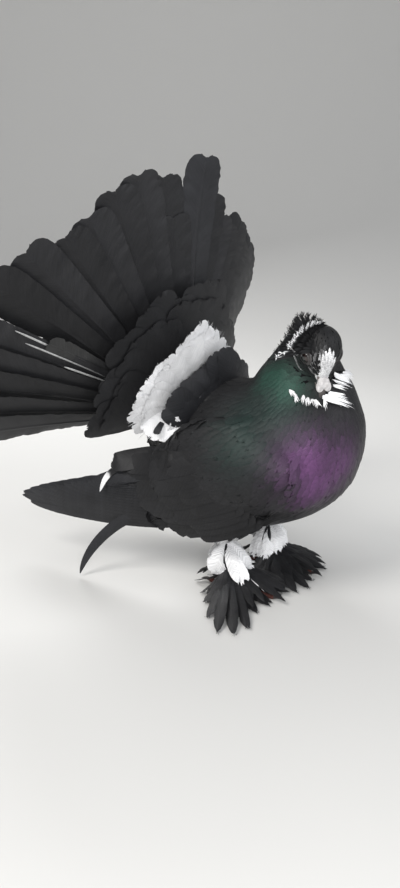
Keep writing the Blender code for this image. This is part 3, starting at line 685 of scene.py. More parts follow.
class Flock:
    """Feathers of one cut, gathered one by one and joined in one mesh."""

    def __init__(self, name: str, cut: Cut, seed: int) -> None:
        """Starts with no feathers."""
        self.name = name
        self.cut = cut
        self.draw = np.random.default_rng(seed)
        self.paths: list[Array] = []
        self.ups: list[Array] = []
        self.widths: list[float] = []
        self.dresses: list[Dress] = []

    def add(self, path: Rows, ups: Rows, half_width: float, dress: Dress) -> None:
        """Adds a feather.

        Args:
            path: evenly spaced points from root to tip.
            ups: the direction its upper face looks at each of them.
            half_width: at its widest.
            dress: its colours.
        """
        self.paths.append(np.asarray(path, float))
        self.ups.append(np.asarray(ups, float))
        self.widths.append(half_width)
        self.dresses.append(dress)

    def outline(self, t: Array) -> Array:
        """Share of the half width at places along the feather."""
        cut = self.cut
        t = np.minimum(t, 0.995)
        return (cut.root + (1 - cut.root) * t**cut.growth) * (1 - t**cut.tip) ** cut.blunt

    def corners(self, grid: Array) -> tuple[Array, Array, Array, Array]:
        """Shapes every feather over one grid.

        Args:
            grid: the grid's corners from lens_grid.

        Returns:
            Places, distances across and along each vane, shares along, and shares across.
        """
        cut, count = self.cut, len(self.paths)
        u = np.sign(grid[:, 0]) * np.abs(grid[:, 0]) ** cut.crowd
        t = 1 - (1 - grid[:, 1]) ** 1.35
        weights, slopes = lagrange(t, len(self.paths[0]))
        paths, ups = np.array(self.paths), np.array(self.ups)
        place = np.einsum("vk,nkc->nvc", weights, paths)
        along = np.einsum("vk,nkc->nvc", slopes, paths)
        length = np.linalg.norm(np.diff(paths, axis=1), axis=2).sum(1)
        tangent = unit(along)
        side = unit(np.cross(tangent, np.einsum("vk,nkc->nvc", weights, ups)))
        up = np.cross(side, tangent)
        row = np.rint(grid[:, 1] * cut.rows).astype(int)
        hand = (grid[:, 0] > 0).astype(int)
        edge = (np.abs(grid[:, 0]) > 0.95).astype(float)
        shape = (count, cut.rows + 1, 2)
        rough = self.draw.random(shape)
        notches = (self.draw.random(shape) < cut.splits) * self.draw.uniform(0.4, 1, shape)
        pull = (cut.ragged * rough + cut.notch * notches)[:, row, hand] * edge
        width = np.array(self.widths)[:, None] * self.outline(t)[None]
        across = width * u[None] * (1 - pull)
        lifts = (self.draw.random(shape) - 0.5)[:, row, hand] * cut.ruffle * u[None] ** 2
        drop = -cut.camber * width * u[None] ** 2 + lifts * width
        shaft = (np.abs(grid[:, 0]) < 1e-6) * cut.rib * (1 - 0.75 * t)
        thick = grid[:, 2] * (cut.thickness * (0.5 - 0.25 * t) + shaft)
        column = np.rint((grid[:, 0] + 1) / 2 * cut.columns).astype(int)
        jags = self.draw.random((count, cut.columns + 1))[:, column] * cut.jag
        shift = cut.sweep * np.abs(across) - jags * length[:, None] * t[None] ** 5
        out = place + side * across[..., None] + up * (drop + thick[None])[..., None]
        out += tangent * shift[..., None]
        out[..., 2] = np.maximum(out[..., 2], FLOOR_GAP)
        return out, np.stack((across, length[:, None] * t[None] + shift), -1), t, u

    def build(self, unwrap: Unwrap) -> Piece:
        """Joins the feathers in one mesh with their colours and maps.

        Args:
            unwrap: the skin's unwrap, which gives each feather its patch.

        Returns:
            The piece.
        """
        grid, faces = lens_grid(self.cut.columns, self.cut.rows)
        places, vane, t, u = self.corners(grid)
        count, size = places.shape[:2]
        steps = (np.arange(count) * size)[:, None, None]
        obj = array_mesh(self.name, places.reshape(-1, 3), (faces[None] + steps).reshape(-1, 4))
        paint(obj.data, "Plumage", self.colours(t).reshape(-1, 3))
        gloss = np.array([d.gloss for d in self.dresses])[:, None].repeat(size, 1)
        paint(obj.data, "Gloss", gloss.reshape(-1, 3))
        store_map(obj.data, "Vane", vane.reshape(-1, 2) * 0.1)
        patch = np.stack((u / 2, t - 0.5), -1)[None] * PATCH
        roots = unwrap.places([p[0] for p in self.paths])
        store_map(obj.data, "OFBake", (roots[:, None] + patch).reshape(-1, 2))
        return obj

    def colours(self, t: Array) -> Array:
        """Colour of every corner, each feather a little lighter or darker than the next."""
        root = np.array([d.root for d in self.dresses])[:, None]
        tip = np.array([d.tip for d in self.dresses])[:, None]
        low, high = (np.array([d.fade[k] for d in self.dresses])[:, None] for k in (0, 1))
        share = np.clip((t[None] - low) / np.maximum(high - low, 1e-3), 0, 1)[..., None]
        tone = self.draw.uniform(0.92, 1.08, (len(self.dresses), 1, 1))
        return (root + (tip - root) * share) * tone


class Unwrap:
    """The skin's own unwrap, which tells where on it a feather is rooted."""

    def __init__(self, skin: Piece) -> None:
        """Unwraps the skin by its own shape and keeps the middle of each face.

        Args:
            skin: the skin in the bird's frame.
        """
        bpy.context.view_layer.objects.active = skin
        skin.select_set(True)
        skin.data.uv_layers.new(name="OFBake")
        bpy.ops.object.mode_set(mode="EDIT")
        bpy.ops.mesh.select_all(action="SELECT")
        bpy.ops.uv.smart_project(angle_limit=1.15, island_margin=0.004, scale_to_bounds=True)
        bpy.ops.object.mode_set(mode="OBJECT")
        skin.select_set(False)
        mesh = skin.data
        uv = np.zeros(len(mesh.loops) * 2)
        mesh.uv_layers["OFBake"].data.foreach_get("uv", uv)
        sides = np.array([p.loop_total for p in mesh.polygons])
        starts = np.array([p.loop_start for p in mesh.polygons])
        self.middles = np.add.reduceat(uv.reshape(-1, 2), starts) / sides[:, None]
        corners = [v.co for v in mesh.vertices]
        self.tree = BVHTree.FromPolygons(corners, [tuple(p.vertices) for p in mesh.polygons])

    def places(self, points: list[Array]) -> Array:
        """Places on the unwrap of the skin nearest to points."""
        found = [self.tree.find_nearest(Vector(p))[2] for p in points]
        return np.clip(self.middles[found], PATCH, 1 - PATCH)


class Markings:
    """Where the plumage is white, grey, black, green or purple, told by the place on the bird."""

    BLAZE = ((5.0, 3.4, 3.3), (8.4, 1.7, 4.5), (13.0, 0.3, 4.8), (22.0, -0.8, 4.2))
    PURPLE = ((60.0, -14.0, 92.0), (56.0, -26.0, 82.0), (50.0, -34.0, 96.0))
    GREEN = ((22.5, -23.9, 144.6), (12.0, -22.0, 145.0), (30.0, -25.5, 140.0), (16.0, 30.0, 138.0))
    TEAL = ((8.0, -42.0, 122.0), (26.0, -38.0, 128.0), (12.5, -50.0, 110.0), (12.0, 40.0, 124.0))

    def blaze(self, points: Array) -> Array:
        """How white the blaze down the forehead is.

        Args:
            points: rows of places on the bird.

        Returns:
            One or nought for each.
        """
        along, up, right = HEAD.local(points).T
        best = np.full(len(along), 9.0)
        for (a0, r0, w0), (a1, r1, w1) in zip(self.BLAZE, self.BLAZE[1:]):
            t = np.clip((along - a0) / (a1 - a0), 0, 1)
            far = np.hypot(along - (a0 + (a1 - a0) * t), right - (r0 + (r1 - r0) * t))
            best = np.minimum(best, far / (w0 + (w1 - w0) * t))
        return (best < 1.0) * (up > -5.0) * (np.linalg.norm(HEAD.local(points), axis=1) < 30)

    def flecks(self, points: Array) -> Array:
        """How grey the flecked side of the face is."""
        along, up, right = HEAD.local(points).T
        near = np.exp(-(((along - 8.0) / 5.0) ** 2 + ((right - 7.2) / 2.4) ** 2))
        grain = np.sin(right * 4.1 + np.sin(along) * 0.6) > -0.1
        return near * grain * (up > -4) * 1.2

    def white(self, points: Array) -> Array:
        """Share of white at each point."""
        points = np.atleast_2d(points)
        x, y, z = points.T
        boots = (z < 34) * (z > 9) * (np.abs(np.abs(y) - 27) < 13) * (x > -34) * (x < 6)
        return np.clip(self.blaze(points) + 0.9 * boots, 0, 1)

    def colour(self, points: Array) -> Array:
        """Colour at each point, as rows.

        Args:
            points: rows of places on the bird.

        Returns:
            A colour for each.
        """
        points = np.atleast_2d(points)
        white = self.white(points)[:, None]
        grey = self.flecks(points)[:, None] * (1 - white)
        head = smoothstep(np.linalg.norm(HEAD.local(points), axis=1), 34, 18)[:, None]
        dark = blended(CHARCOAL, BLACK, head)
        return dark * (1 - white) * (1 - grey) + np.array(WHITE) * white + np.array(GREY) * grey

    def gloss(self, points: Array) -> Array:
        """Colour of the gloss at each point, as rows.

        Args:
            points: rows of places on the bird.

        Returns:
            A colour for each.
        """
        points = np.atleast_2d(points)
        dark = (1 - self.white(points))[:, None]
        out = np.zeros((len(points), 3))
        for places, reach, tint in (
            (self.PURPLE, 17.0, (0.120, 0.040, 0.135)),
            (self.GREEN, 11.0, (0.004, 0.050, 0.030)),
            (self.TEAL, 18.0, (0.001, 0.017, 0.012)),
        ):
            near = [np.linalg.norm(points - np.array(place), axis=1) for place in places]
            out += np.exp(-((np.min(near, axis=0) / reach) ** 2))[:, None] * np.array(tint)
        return dark * out


MARKINGS = Markings()


@dataclass
class WingSheet:
    """The middle sheet of a folded wing, on which its feathers are laid.

    Sections are (x, middle height, half depth, distance from the middle plane, half thickness).
    """

    sections: tuple[tuple[float, ...], ...] = (
        (50, 93, 6, 43, 2), (44, 91, 17, 46, 4.5), (30, 87, 30, 50, 6.5), (8, 84, 39, 52.5, 7),
        (-16, 80, 43, 54, 6.5), (-38, 75, 38, 54, 5), (-54, 66, 26, 54, 3), (-60, 60, 15, 54, 1.5),
    )
    curl: float = 12
    turn: float = 0.45
    rear_out: float = 51
    rear_depth: float = 30
    rear_reach: float = 100
    least_depth: float = 20
    flat_reach: float = 30

    def surface(self, x: float, z: float, side: Side = Side.RIGHT) -> Arrays:
        """Point on the sheet and its outward direction.

        Args:
            x: place along the bird.
            z: height.
            side: which wing.

        Returns:
            The point and the direction.
        """
        rows = sorted(self.sections)
        low = max([s for s in rows if s[0] <= x] or rows[:1])
        high = min([s for s in rows if s[0] >= x] or rows[-1:])
        share = (x - low[0]) / (high[0] - low[0]) if high[0] > low[0] else 0
        middle, deep, out = (low[k] + (high[k] - low[k]) * share for k in (1, 2, 3))
        behind = rows[0][0] - x
        if behind > 0:
            deep = self.rear_depth
            out += (self.rear_out - out) * min(1, behind / self.rear_reach)
        t = max(-1.2, min(1.2, (z - middle) / max(deep, self.least_depth)))
        flat = min(1, max(0, 1 - (behind + self.flat_reach) / (2 * self.flat_reach)))
        hand = side.value
        point = np.array((x, hand * (-out + self.curl * t * t * flat), z))
        return point, unit(np.array((0.0, -hand, self.turn * t)))


WING = WingSheet()


@dataclass
class Skin:
    """One skin for torso, neck, head, wing arms, rump, legs and feet, inside them by the coat's depth."""

    coat: float = 1.3
    face_coat: float = 1.0
    voxel: float = 2.2
    toe_voxel: float = 0.7
    tuck: float = 0.87
    torso: tuple = (
        (-66, 110, 9, 12), (-60, 108, 18, 20), (-46, 103, 30, 31), (-26, 94, 44, 42), (0, 90.5, 50.5, 48),
        (24, 95, 48.5, 48), (42, 100, 44, 42), (56, 104, 35, 33), (64, 107, 20, 19), (67, 108, 7, 7),
    )
    neck: tuple = (
        (100, 20, 0, 42, 40), (116, 22, 0, 45, 42), (130, 24, 2, 40, 35), (140, 26, 2, 34, 29),
        (148, 27, 0, 29, 24), (156, 30, -3, 24, 19), (164, 33, -7, 19, 15), (172, 36, -11, 13, 11),
        (179, 38, -13, 6, 5),
    )
    head: tuple = (
        (-13.8, -1, 3, 3), (-12, -1, 7.5, 7.5), (-8, 0, 11.4, 11.4), (-2, 0, 13.4, 13.2),
        (4, 0, 13, 13.2), (9, -1, 11, 11.4), (13, -2.0, 8.2, 8.6), (16.5, -2.4, 6.0, 6.2),
        (19.5, -2.6, 4.4, 4.7), (22.5, -3.4, 2.6, 3.2), (23.5, -3.8, 1.4, 1.6),
    )
    rump: tuple = ((-52, 0, 116), (17, 39, 39))
    tail_root: tuple = ((-71, 0, 107), (10, 31, 31))
    lean: float = 29.0
    shoulder: Triple = (37.0, 29.5, 90.0)
    shoulder_turn: float = 0.69
    shoulder_radii: Triple = (27.0, 12.5, 27.0)
    leg_top: Triple = (-2, 24, 46)
    hock: Triple = (-14, 26, 33)
    toe_joint: Triple = (-4, 27, 2)
    thigh: tuple[Pair, ...] = ((-0.4, 17), (0, 15), (0.5, 11), (0.85, 7.5), (1.15, 4.5))
    shank: tuple[Pair, ...] = ((-0.1, 4.6), (0.1, 4.6), (0.5, 3.4), (0.85, 3.4), (1, 3.8))
    toe_radius: float = 2.4
    least_arm: float = 0.8
    bare_height: float = 7.0
    bare_skin: Colour = (0.10, 0.042, 0.036)
    # Markings times this on feathered skin: painted shade, so skin seen in the gaps between feathers is
    # darker.
    shade: float = 0.8
    nodes: tuple[str, ...] = ("torso", "neck", "head", "leg_right", "leg_left")

    def trunk(self, bm: BMesh) -> None:
        """Adds torso, neck and head.

        Args:
            bm: the mesh that they are added to.
        """
        x, y, z = np.eye(3)
        _, up, right = HEAD.axes()
        torso, neck, head = (between(keys, 1) for keys in (self.torso, self.neck, self.head))
        c = self.coat
        loft(bm, [((at, 0, height), y, z, wide - c, high - c) for at, height, high, wide in torso], 32)
        loft(bm, [((at, out, height), x, y, deep - c, wide - c) for height, at, out, deep, wide in neck], 32)
        c = self.face_coat
        rings = [(HEAD.point(at, rise, 0), right, up, wide - c, high - c) for at, rise, high, wide in head]
        loft(bm, rings, 28)

    def rear(self, bm: BMesh) -> None:
        """Adds the rump and the root of the tail."""
        lean = Matrix.Rotation(math.radians(self.lean), 4, "Y")
        for centre, radii in (self.rump, self.tail_root):
            ball(bm, centre, lean, tuple(r - self.coat for r in radii))

    def shoulders(self, bm: BMesh) -> None:
        """Fills the step between the breast and the front of each wing."""
        for side in Side:
            turn = Matrix.Rotation(self.shoulder_turn * side.value, 4, "Z")
            ball(bm, side.mirrored(self.shoulder), turn, self.shoulder_radii)

    def arms(self, bm: BMesh) -> None:
        """Adds the arm of each wing as a closed lens on its sheet.

        Args:
            bm: the mesh that they are added to.
        """
        grid, faces = lens_grid(8, 24)
        columns = np.array(sorted(WING.sections)).T
        ends = (columns[0][-1], columns[0][0])
        for side in Side:
            verts = []
            for u, t, face in grid:
                x = ramp(ends, t)
                middle, deep, thick = (np.interp(x, columns[0], columns[k]) for k in (1, 2, 4))
                point, normal = WING.surface(x, middle + deep * u * (1 if u > 0 else self.tuck), side)
                half = max(thick * (1 - 0.8 * u * u) - self.coat, self.least_arm)
                verts.append(bm.verts.new(point + normal * (face * half)))
            for face in faces:
                bm.faces.new([verts[k] for k in face])

    def leg(self, bm: BMesh, side: Side) -> None:
        """Adds one thigh down to its hock.

        Args:
            bm: the mesh that it is added to.
            side: which leg.
        """
        x, y, _ = np.eye(3)
        top, hock = side.mirrored(self.leg_top), side.mirrored(self.hock)
        c = self.coat
        rings = [(top + (hock - top) * t, x, y, wide - c, wide * 0.8 - c) for t, wide in self.thigh]
        loft(bm, rings, 20)

    def foot(self, bm: BMesh, side: Side) -> None:
        """Adds one shank and its toes, a joint at each swelling of a toe.

        Args:
            bm: the mesh that they are added to.
            side: which foot.
        """
        x, y, z = np.eye(3)
        hock, joint = side.mirrored(self.hock), side.mirrored(self.toe_joint)
        loft(bm, [(hock + (joint - hock) * t, x, y, wide, wide) for t, wide in self.shank], 14)
        for angle, length in TOES:
            along = heading(angle * side.value)
            across = np.cross(z, along)
            rings = []
            for k in range(13):
                t = k / 12
                radius = self.toe_radius * (1 - 0.35 * t) * (1 + 0.10 * math.cos(t * math.pi * 6))
                middle = joint * (1, 1, 0) + along * (t * length) + z * radius
                rings.append((middle, across, z, radius, radius))
            loft(bm, rings, 12)

    def build(self) -> tuple[Piece, Unwrap]:
        """Builds the skin.

        Returns:
            The piece, still in the bird's frame, and its unwrap.
        """
        bm = bmesh.new()
        self.trunk(bm)
        self.rear(bm)
        self.arms(bm)
        self.shoulders(bm)
        for side in Side:
            self.leg(bm, side)
        skin = remeshed("skin", bm, self.voxel, 20)
        feet = bmesh.new()
        for side in Side:
            self.foot(feet, side)
        toes = remeshed("toes", feet, self.toe_voxel, 3)
        joined = bmesh.new()
        for piece in (skin, toes):
            joined.from_mesh(piece.data)
        bpy.data.objects.remove(toes)
        joined.to_mesh(skin.data)
        joined.free()
        co = np.array([v.co for v in skin.data.vertices])
        co[:, 2] = np.maximum(co[:, 2], 0.0)
        skin.data.vertices.foreach_set("co", co.astype(np.float32).ravel())
        unwrap = Unwrap(skin)
        bare = (co[:, 2] < self.bare_height)[:, None]
        # Feathered skin takes the markings' colour darkened by shade, painted shade for the gaps between
        # feathers; bare feet keep their own skin colour.
        paint(skin.data, "Plumage", np.where(bare, self.bare_skin, MARKINGS.colour(co) * self.shade))
        return skin, unwrap


@dataclass
class Coat:
    """Small feathers over the whole skin, each laid along the lie of the coat at its place.

    Zones are (spacing, length, half width, lift at the tip). An under coat of broad feathers, with those
    sizes times its own, closes the gaps between the others.
    """

    skin: Piece
    unwrap: Unwrap
    face: tuple = (1.2, 5.0, 0.95, 0.15)
    nape: tuple = (2.2, 12.0, 2.4, 0.35)
    body: tuple = (3.6, 20.0, 3.9, 0.5)
    rump: tuple = (5.2, 13.0, 5.6, 0.2)
    thigh: tuple = (4.2, 16.0, 3.8, 1.2)
    under: tuple = (1.7, 1.2, 2.1, 0.3)
    bare_height: float = 6.0
    tries: int = 110000
    cell: float = 6.5
    to_nape: Pair = (14, 29)
    to_body: Pair = (36, 78)
    to_rump: tuple[Pair, Pair] = ((28, 42), (88, 104))
    to_thigh: Pair = (50, 38)
    bill_tip: Triple = (21, -1, 0)
    from_bill: Pair = (19, 27)
    backwards: Triple = (-1.25, 0, -0.1)
    to_backwards: Pair = (48, 112)
    fan_centre: Triple = (-58, 0, 112)
    fan_depth: float = 14.0
    to_fan: tuple[Pair, Pair] = ((26, 40), (84, 104))
    downwards: Triple = (-0.1, 0, -1)
    to_downwards: Pair = (44, 34)
    head_reach: float = 26.0
    neck_reach: float = 66.0
    no_under_reach: float = 20.5
    breast_start: float = 18.0
    rear_start: float = -28.0

    def zone(self, p: Vector) -> Array:
        """Sizes of the feathers at a point.

        Args:
            p: the point.

        Returns:
            Spacing, length, half width and lift at the tip.
        """
        far = (p - Vector(HEAD.centre)).length
        sizes = blended(self.face, self.nape, soft_step(far, *self.to_nape))
        sizes = blended(sizes, self.body, soft_step(far, *self.to_body))
        behind, above = self.to_rump
        sizes = blended(sizes, self.rump, soft_step(-p.x, *behind) * soft_step(p.z, *above))
        top, low = self.to_thigh
        return blended(sizes, self.thigh, soft_step(top - p.z, 0, top - low))

    def region(self, p: Vector) -> str:
        """The part of the coat that a place belongs to.

        Args:
            p: the place.

        Returns:
            Its name.
        """
        far = (p - Vector(HEAD.centre)).length
        if far < self.neck_reach:
            return "head" if far < self.head_reach else "neck"
        if p.x > self.breast_start:
            return "breast"
        return "body" if p.x > self.rear_start else "rear"

    def lie(self, p: Vector, normal: Vector) -> Vector:
        """Direction in which feathers lie at a point: back from the bill, down the neck, along the body.

        Args:
            p: the point.
            normal: the skin's direction there.

        Returns:
            The direction, along the skin.
        """
        bill = p - Vector(HEAD.point(*self.bill_tip))
        away = p - Vector(HEAD.centre)
        near = 1 - soft_step(away.length, *self.from_bill)
        body = away.normalized() + Vector(self.backwards) * soft_step(away.length, *self.to_backwards)
        behind, above = self.to_fan
        tail = soft_step(-p.x, *behind) * soft_step(p.z, *above)
        fan = p - Vector(self.fan_centre)
        fan.x = -self.fan_depth
        body = body * (1 - tail) + fan.normalized() * tail
        top, bottom = self.to_downwards
        low = soft_step(top - p.z, 0, top - bottom)
        body = body * (1 - low) + Vector(self.downwards) * low
        flow = body * (1 - near) + bill.normalized() * near
        flow -= normal * flow.dot(normal)
        return flow.normalized() if flow.length > 1e-4 else normal.orthogonal().normalized()

    def roots(self, sparse: float) -> list[tuple[Vector, Vector]]:
        """Places and normals of the feathers, spread evenly for their size at each place.

        Args:
            sparse: their spacing, as a share of the zone's.

        Returns:
            The places and normals.
        """
        mesh = self.skin.data
        draw = np.random.default_rng(SEED)
        mesh.calc_loop_triangles()
        tris = np.array([t.vertices for t in mesh.loop_triangles])
        co = np.array([v.co for v in mesh.vertices])
        a, b, c = co[tris[:, 0]], co[tris[:, 1]], co[tris[:, 2]]
        normals = np.cross(b - a, c - a)
        area = np.linalg.norm(normals, axis=1)
        middle_far = np.linalg.norm((a + b + c) / 3 - np.array(HEAD.centre), axis=1)
        weight = area * (1 + 9 * (1 - smoothstep(middle_far, 16, 50))) * (a[:, 2] > self.bare_height)
        picks = draw.choice(len(tris), self.tries, p=weight / weight.sum())
        r, s = np.sqrt(draw.random(self.tries))[:, None], draw.random(self.tries)[:, None]
        points = a[picks] * (1 - r) + b[picks] * (r * (1 - s)) + c[picks] * (r * s)
        normals = unit(normals[picks])
        cell = self.cell * sparse
        taken: dict[tuple[int, int, int], list[tuple[Vector, float]]] = {}
        found = []
        for row, normal in zip(points, normals):
            p = Vector(row)
            spacing = float(self.zone(p)[0]) * sparse
            i, j, k = (int(v // cell) for v in row)
            cells = [(i + u, j + v, k + w) for u, v, w in NEIGHBOURS]
            if any((p - q).length < (spacing + d) / 2 for near in cells for q, d in taken.get(near, ())):
                continue
            taken.setdefault((i, j, k), []).append((p, spacing))
            found.append((p, Vector(normal)))
        return found

    def build(self) -> list[Piece]:
        """Builds the coat in pieces by region.

        Returns:
            The pieces.
        """
        draw = random.Random(SEED)
        cuts = {"head": HEAD_CUT, "under": UNDER_CUT}
        flocks = {}
        for i, word in enumerate(("head", "neck", "breast", "body", "rear", "under")):
            flocks[word] = Flock("coat_" + word, cuts.get(word, BODY_CUT), i)
        for under, shares in ((False, np.ones(4)), (True, np.array(self.under))):
            for p, normal in self.roots(float(shares[0])):
                _, length, half_width, lift = self.zone(p) * shares
                path, ups = self.feather(p, normal, length * draw.uniform(0.88, 1.12), lift, draw)
                if under and (p - Vector(HEAD.centre)).length < self.no_under_reach:
                    continue
                colour, gloss = MARKINGS.colour(path[2])[0], MARKINGS.gloss(path[2])[0]
                dress = Dress(tuple(colour * 0.85), tuple(colour), (0.3, 0.8), tuple(gloss))
                word = "under" if under else self.region(p)
                flocks[word].add(path, ups, half_width * draw.uniform(0.9, 1.1), dress)
        return [flock.build(self.unwrap) for flock in flocks.values()]

    def feather(
        self, point: Vector, normal: Vector, length: float, lift: float, draw: random.Random
    ) -> tuple[list[Vector], list[Vector]]:
        """Lays one feather over the skin.

        Args:
            point: its root.
            normal: the skin's direction there.
            length: its length.
            lift: how far its tip stands off.
            draw: the random draw.

        Returns:
            Its points and the directions that its face looks.
        """
        path, ups = [point - normal * 0.4], [normal]
        turn = draw.uniform(-0.16, 0.16)
        for k in (1, 2, 3):
            flow = self.lie(point, normal)
            flow = (flow + normal.cross(flow) * turn).normalized()
            point, normal = self.unwrap.tree.find_nearest(point + flow * (length / 3))[:2]
            path.append(point + normal * (0.3 + lift * k / 3 * draw.uniform(0.6, 1.2)))
            ups.append(normal)
        return path, ups


@dataclass
class Tail:
    """The spread fan in tiers: quills, dark coverts, white-edged coverts, and soft feathers over the rump.

    A tier is (root, dish, start of its feathers, half width, turn of their faces at root and tip). Quills
    are (angle from the upright, reach), and slim ones have a half width and a tone as well. Feathers at the
    end of the white band are (root, tip, half width, colour). Rows of the rump are (start, reach, count,
    rise), and its humps (share, angle, spread).
    """

    unwrap: Unwrap
    lean: float = -29.0
    bow: float = 0.0006
    quills: tuple = ((-65, 0, 110), 25.5, 20, 18.5, (28.0, 9.0))
    long_coverts: tuple = ((-56, 0, 111), 22, 26, 15.5, (6.0, 1.5))
    white_coverts: tuple = ((-45, 0, 113), 17, 30, 9.0, (6.0, 2.0))
    under_coverts: tuple = ((-70, 0, 106), 40, 16, 13.0, (14.0, 5.0))
    right_quills: tuple[Pair, ...] = (
        (10.5, 134), (12.5, 160), (21, 166), (29.5, 164), (38, 159), (46.5, 159), (55.5, 170),
        (64.5, 177), (76.5, 176), (84, 172), (91, 167), (99, 161), (107, 155),
    )
    left_quills: tuple[Pair, ...] = (
        (-9.5, 149), (-17.5, 139), (-25, 138), (-33, 149), (-41.5, 144), (-50, 156), (-59, 168),
        (-67, 176), (-75, 175), (-83, 171), (-91, 166), (-99, 161), (-107, 155),
    )
    middle_reach: float = 170.5
    slim_quills: tuple = (
        (70.5, 122, 8.0, 0.03), (71.5, 146, 0.8, 0.5), (73.5, 136, 0.7, 0.4), (76, 104, 0.8, 0.45),
    )
    band_end: tuple = (
        ((-52.8, -31.4, 119.3), (-63.9, -50.8, 105.8), 7.0, WHITE),
        ((-50.9, -30.7, 117.3), (-58.9, -48.7, 101.4), 7.0, WHITE),
        ((-49.0, -29.9, 115.4), (-53.8, -45.7, 99.5), 6.5, WHITE),
        ((-47.1, -29.2, 113.5), (-49.1, -42.1, 100.7), 6.0, WHITE),
        ((-45.2, -28.4, 111.5), (-44.8, -38.0, 103.9), 5.5, WHITE),
        ((-54.1, -39.7, 111.8), (-53.6, -49.1, 104.2), 3.0, SLATE),
    )
    band_reach: float = 69.0
    band_face: Triple = (0.55, -0.8, 0.3)
    rump_centre: Triple = (-52, 0, 116)
    rump_radii: Pair = (39.5, 17.0)
    rump_half_width: float = 11.5
    rump_rows: tuple = ((16, 45, 19, 0.8), (9, 36, 15, 1.6), (3, 26, 11, 2.4), (0, 15, 7, 3.0))
    rump_humps: tuple[Triple, Triple] = ((0.2, 14, 12), (0.18, 70, 14))
    nodes: tuple[str, ...] = ("tail_middle", "tail_right", "tail_left")

    def directions(self, theta: float, dish: float) -> Arrays:
        """Outward and front directions of the fan.

        Args:
            theta: angle from the upright, positive to the right.
            dish: how far the fan is cupped to the front.

        Returns:
            The two directions.
        """
        lean, cone, a = math.radians(self.lean), math.radians(dish), math.radians(theta)
        centre = np.array((-math.sin(lean), 0, math.cos(lean)))
        front = np.array((math.cos(lean), 0, math.sin(lean)))
        spoke = centre * math.cos(a) + np.array((0, -1, 0)) * math.sin(a)
        flat, dip = math.cos(cone), math.sin(cone)
        return spoke * flat - front * dip, spoke * dip + front * flat

    def blade(self, tier: tuple, theta: float, reach: float, lift: Pair = (0.0, 0.0)) -> Arrays:
        """Path of one feather of a tier.

        Args:
            tier: the tier's sizes.
            theta: its angle.
            reach: distance of its tip from the tier's root.
            lift: how far its root and tip stand to the front of the fan.

        Returns:
            Its points and the directions that its face looks.
        """
        root, dish, start, _, lap = tier
        outward, front = self.directions(theta, dish)
        path, ups = [], []
        for k in range(5):
            t = k / 4
            r = start + (reach - start) * t
            rise = lift[0] + (lift[1] - lift[0]) * t * t - self.bow * r * r * (1 - t)
            path.append(np.array(root) + outward * r + front * rise)
            ups.append(turned(front, outward, -ramp(lap, t)))
        return np.array(path), np.array(ups)

    def ring(self, spread: Pair, count: int, jitter: float, draw: random.Random) -> list[float]:
        """Angles of the feathers of a tier."""
        low, high = spread
        return [low + (high - low) * i / (count - 1) + draw.uniform(-jitter, jitter) for i in range(count)]

    def quill_piece(self) -> Piece:
        """The long quills of the fan, the middle one lying over its neighbours.

        Returns:
            The piece.
        """
        draw = random.Random(SEED)
        flock = Flock("tail_quills", QUILL_CUT, 21)
        for theta, reach in (*self.right_quills, *self.left_quills):
            path, ups = self.blade(self.quills, theta + draw.uniform(-0.5, 0.5), reach)
            tone = draw.uniform(0.75, 1.35)
            root = tuple(c * tone for c in CHARCOAL)
            flock.add(path, ups, self.quills[3], Dress(root, tuple(c * 1.2 for c in root), (0.1, 1.0)))
        path, ups = self.blade(self.quills, 0.0, self.middle_reach, (3.0, 8.0))
        flock.add(path, ups, self.quills[3], Dress(CHARCOAL, SLATE, (0.1, 1.0)))
        for theta, reach, wide, tone in self.slim_quills:
            path, ups = self.blade(self.quills, theta, reach, (1.0, 1.5))
            flock.add(path, ups, wide, Dress(SLATE, (tone,) * 3, (0.3, 0.8)))
        return flock.build(self.unwrap)

    def covert_piece(self) -> Piece:
        """The dark coverts over the quills and behind them.

        Returns:
            The piece.
        """
        draw = random.Random(SEED + 1)
        flock = Flock("tail_coverts", COVERT_CUT, 22)
        for tier, spread, count, reach, lift in (
            (self.long_coverts, (-106, 106), 21, 93, (0.3, 0.9)),
            (self.long_coverts, (-102, 102), 22, 80, (1.2, 2.0)),
            (self.under_coverts, (-86, 86), 15, 80, (0.0, -1.5)),
            (self.under_coverts, (-80, 80), 14, 62, (-1.0, -3.0)),
            (self.under_coverts, (-76, 76), 13, 44, (-2.0, -4.5)),
        ):
            for theta in self.ring(spread, count, 2.0, draw):
                length = reach * (1 - 0.14 * smoothstep(abs(theta), 60, 95)) * draw.uniform(0.94, 1.05)
                length *= 1 - 0.2 * smoothstep(-theta, 0, 35)
                path, ups = self.blade(tier, theta, float(length), lift)
                flock.add(path, ups, tier[3] * draw.uniform(0.9, 1.05), Dress(BLACK, CHARCOAL, (0.1, 0.5)))
        return flock.build(self.unwrap)

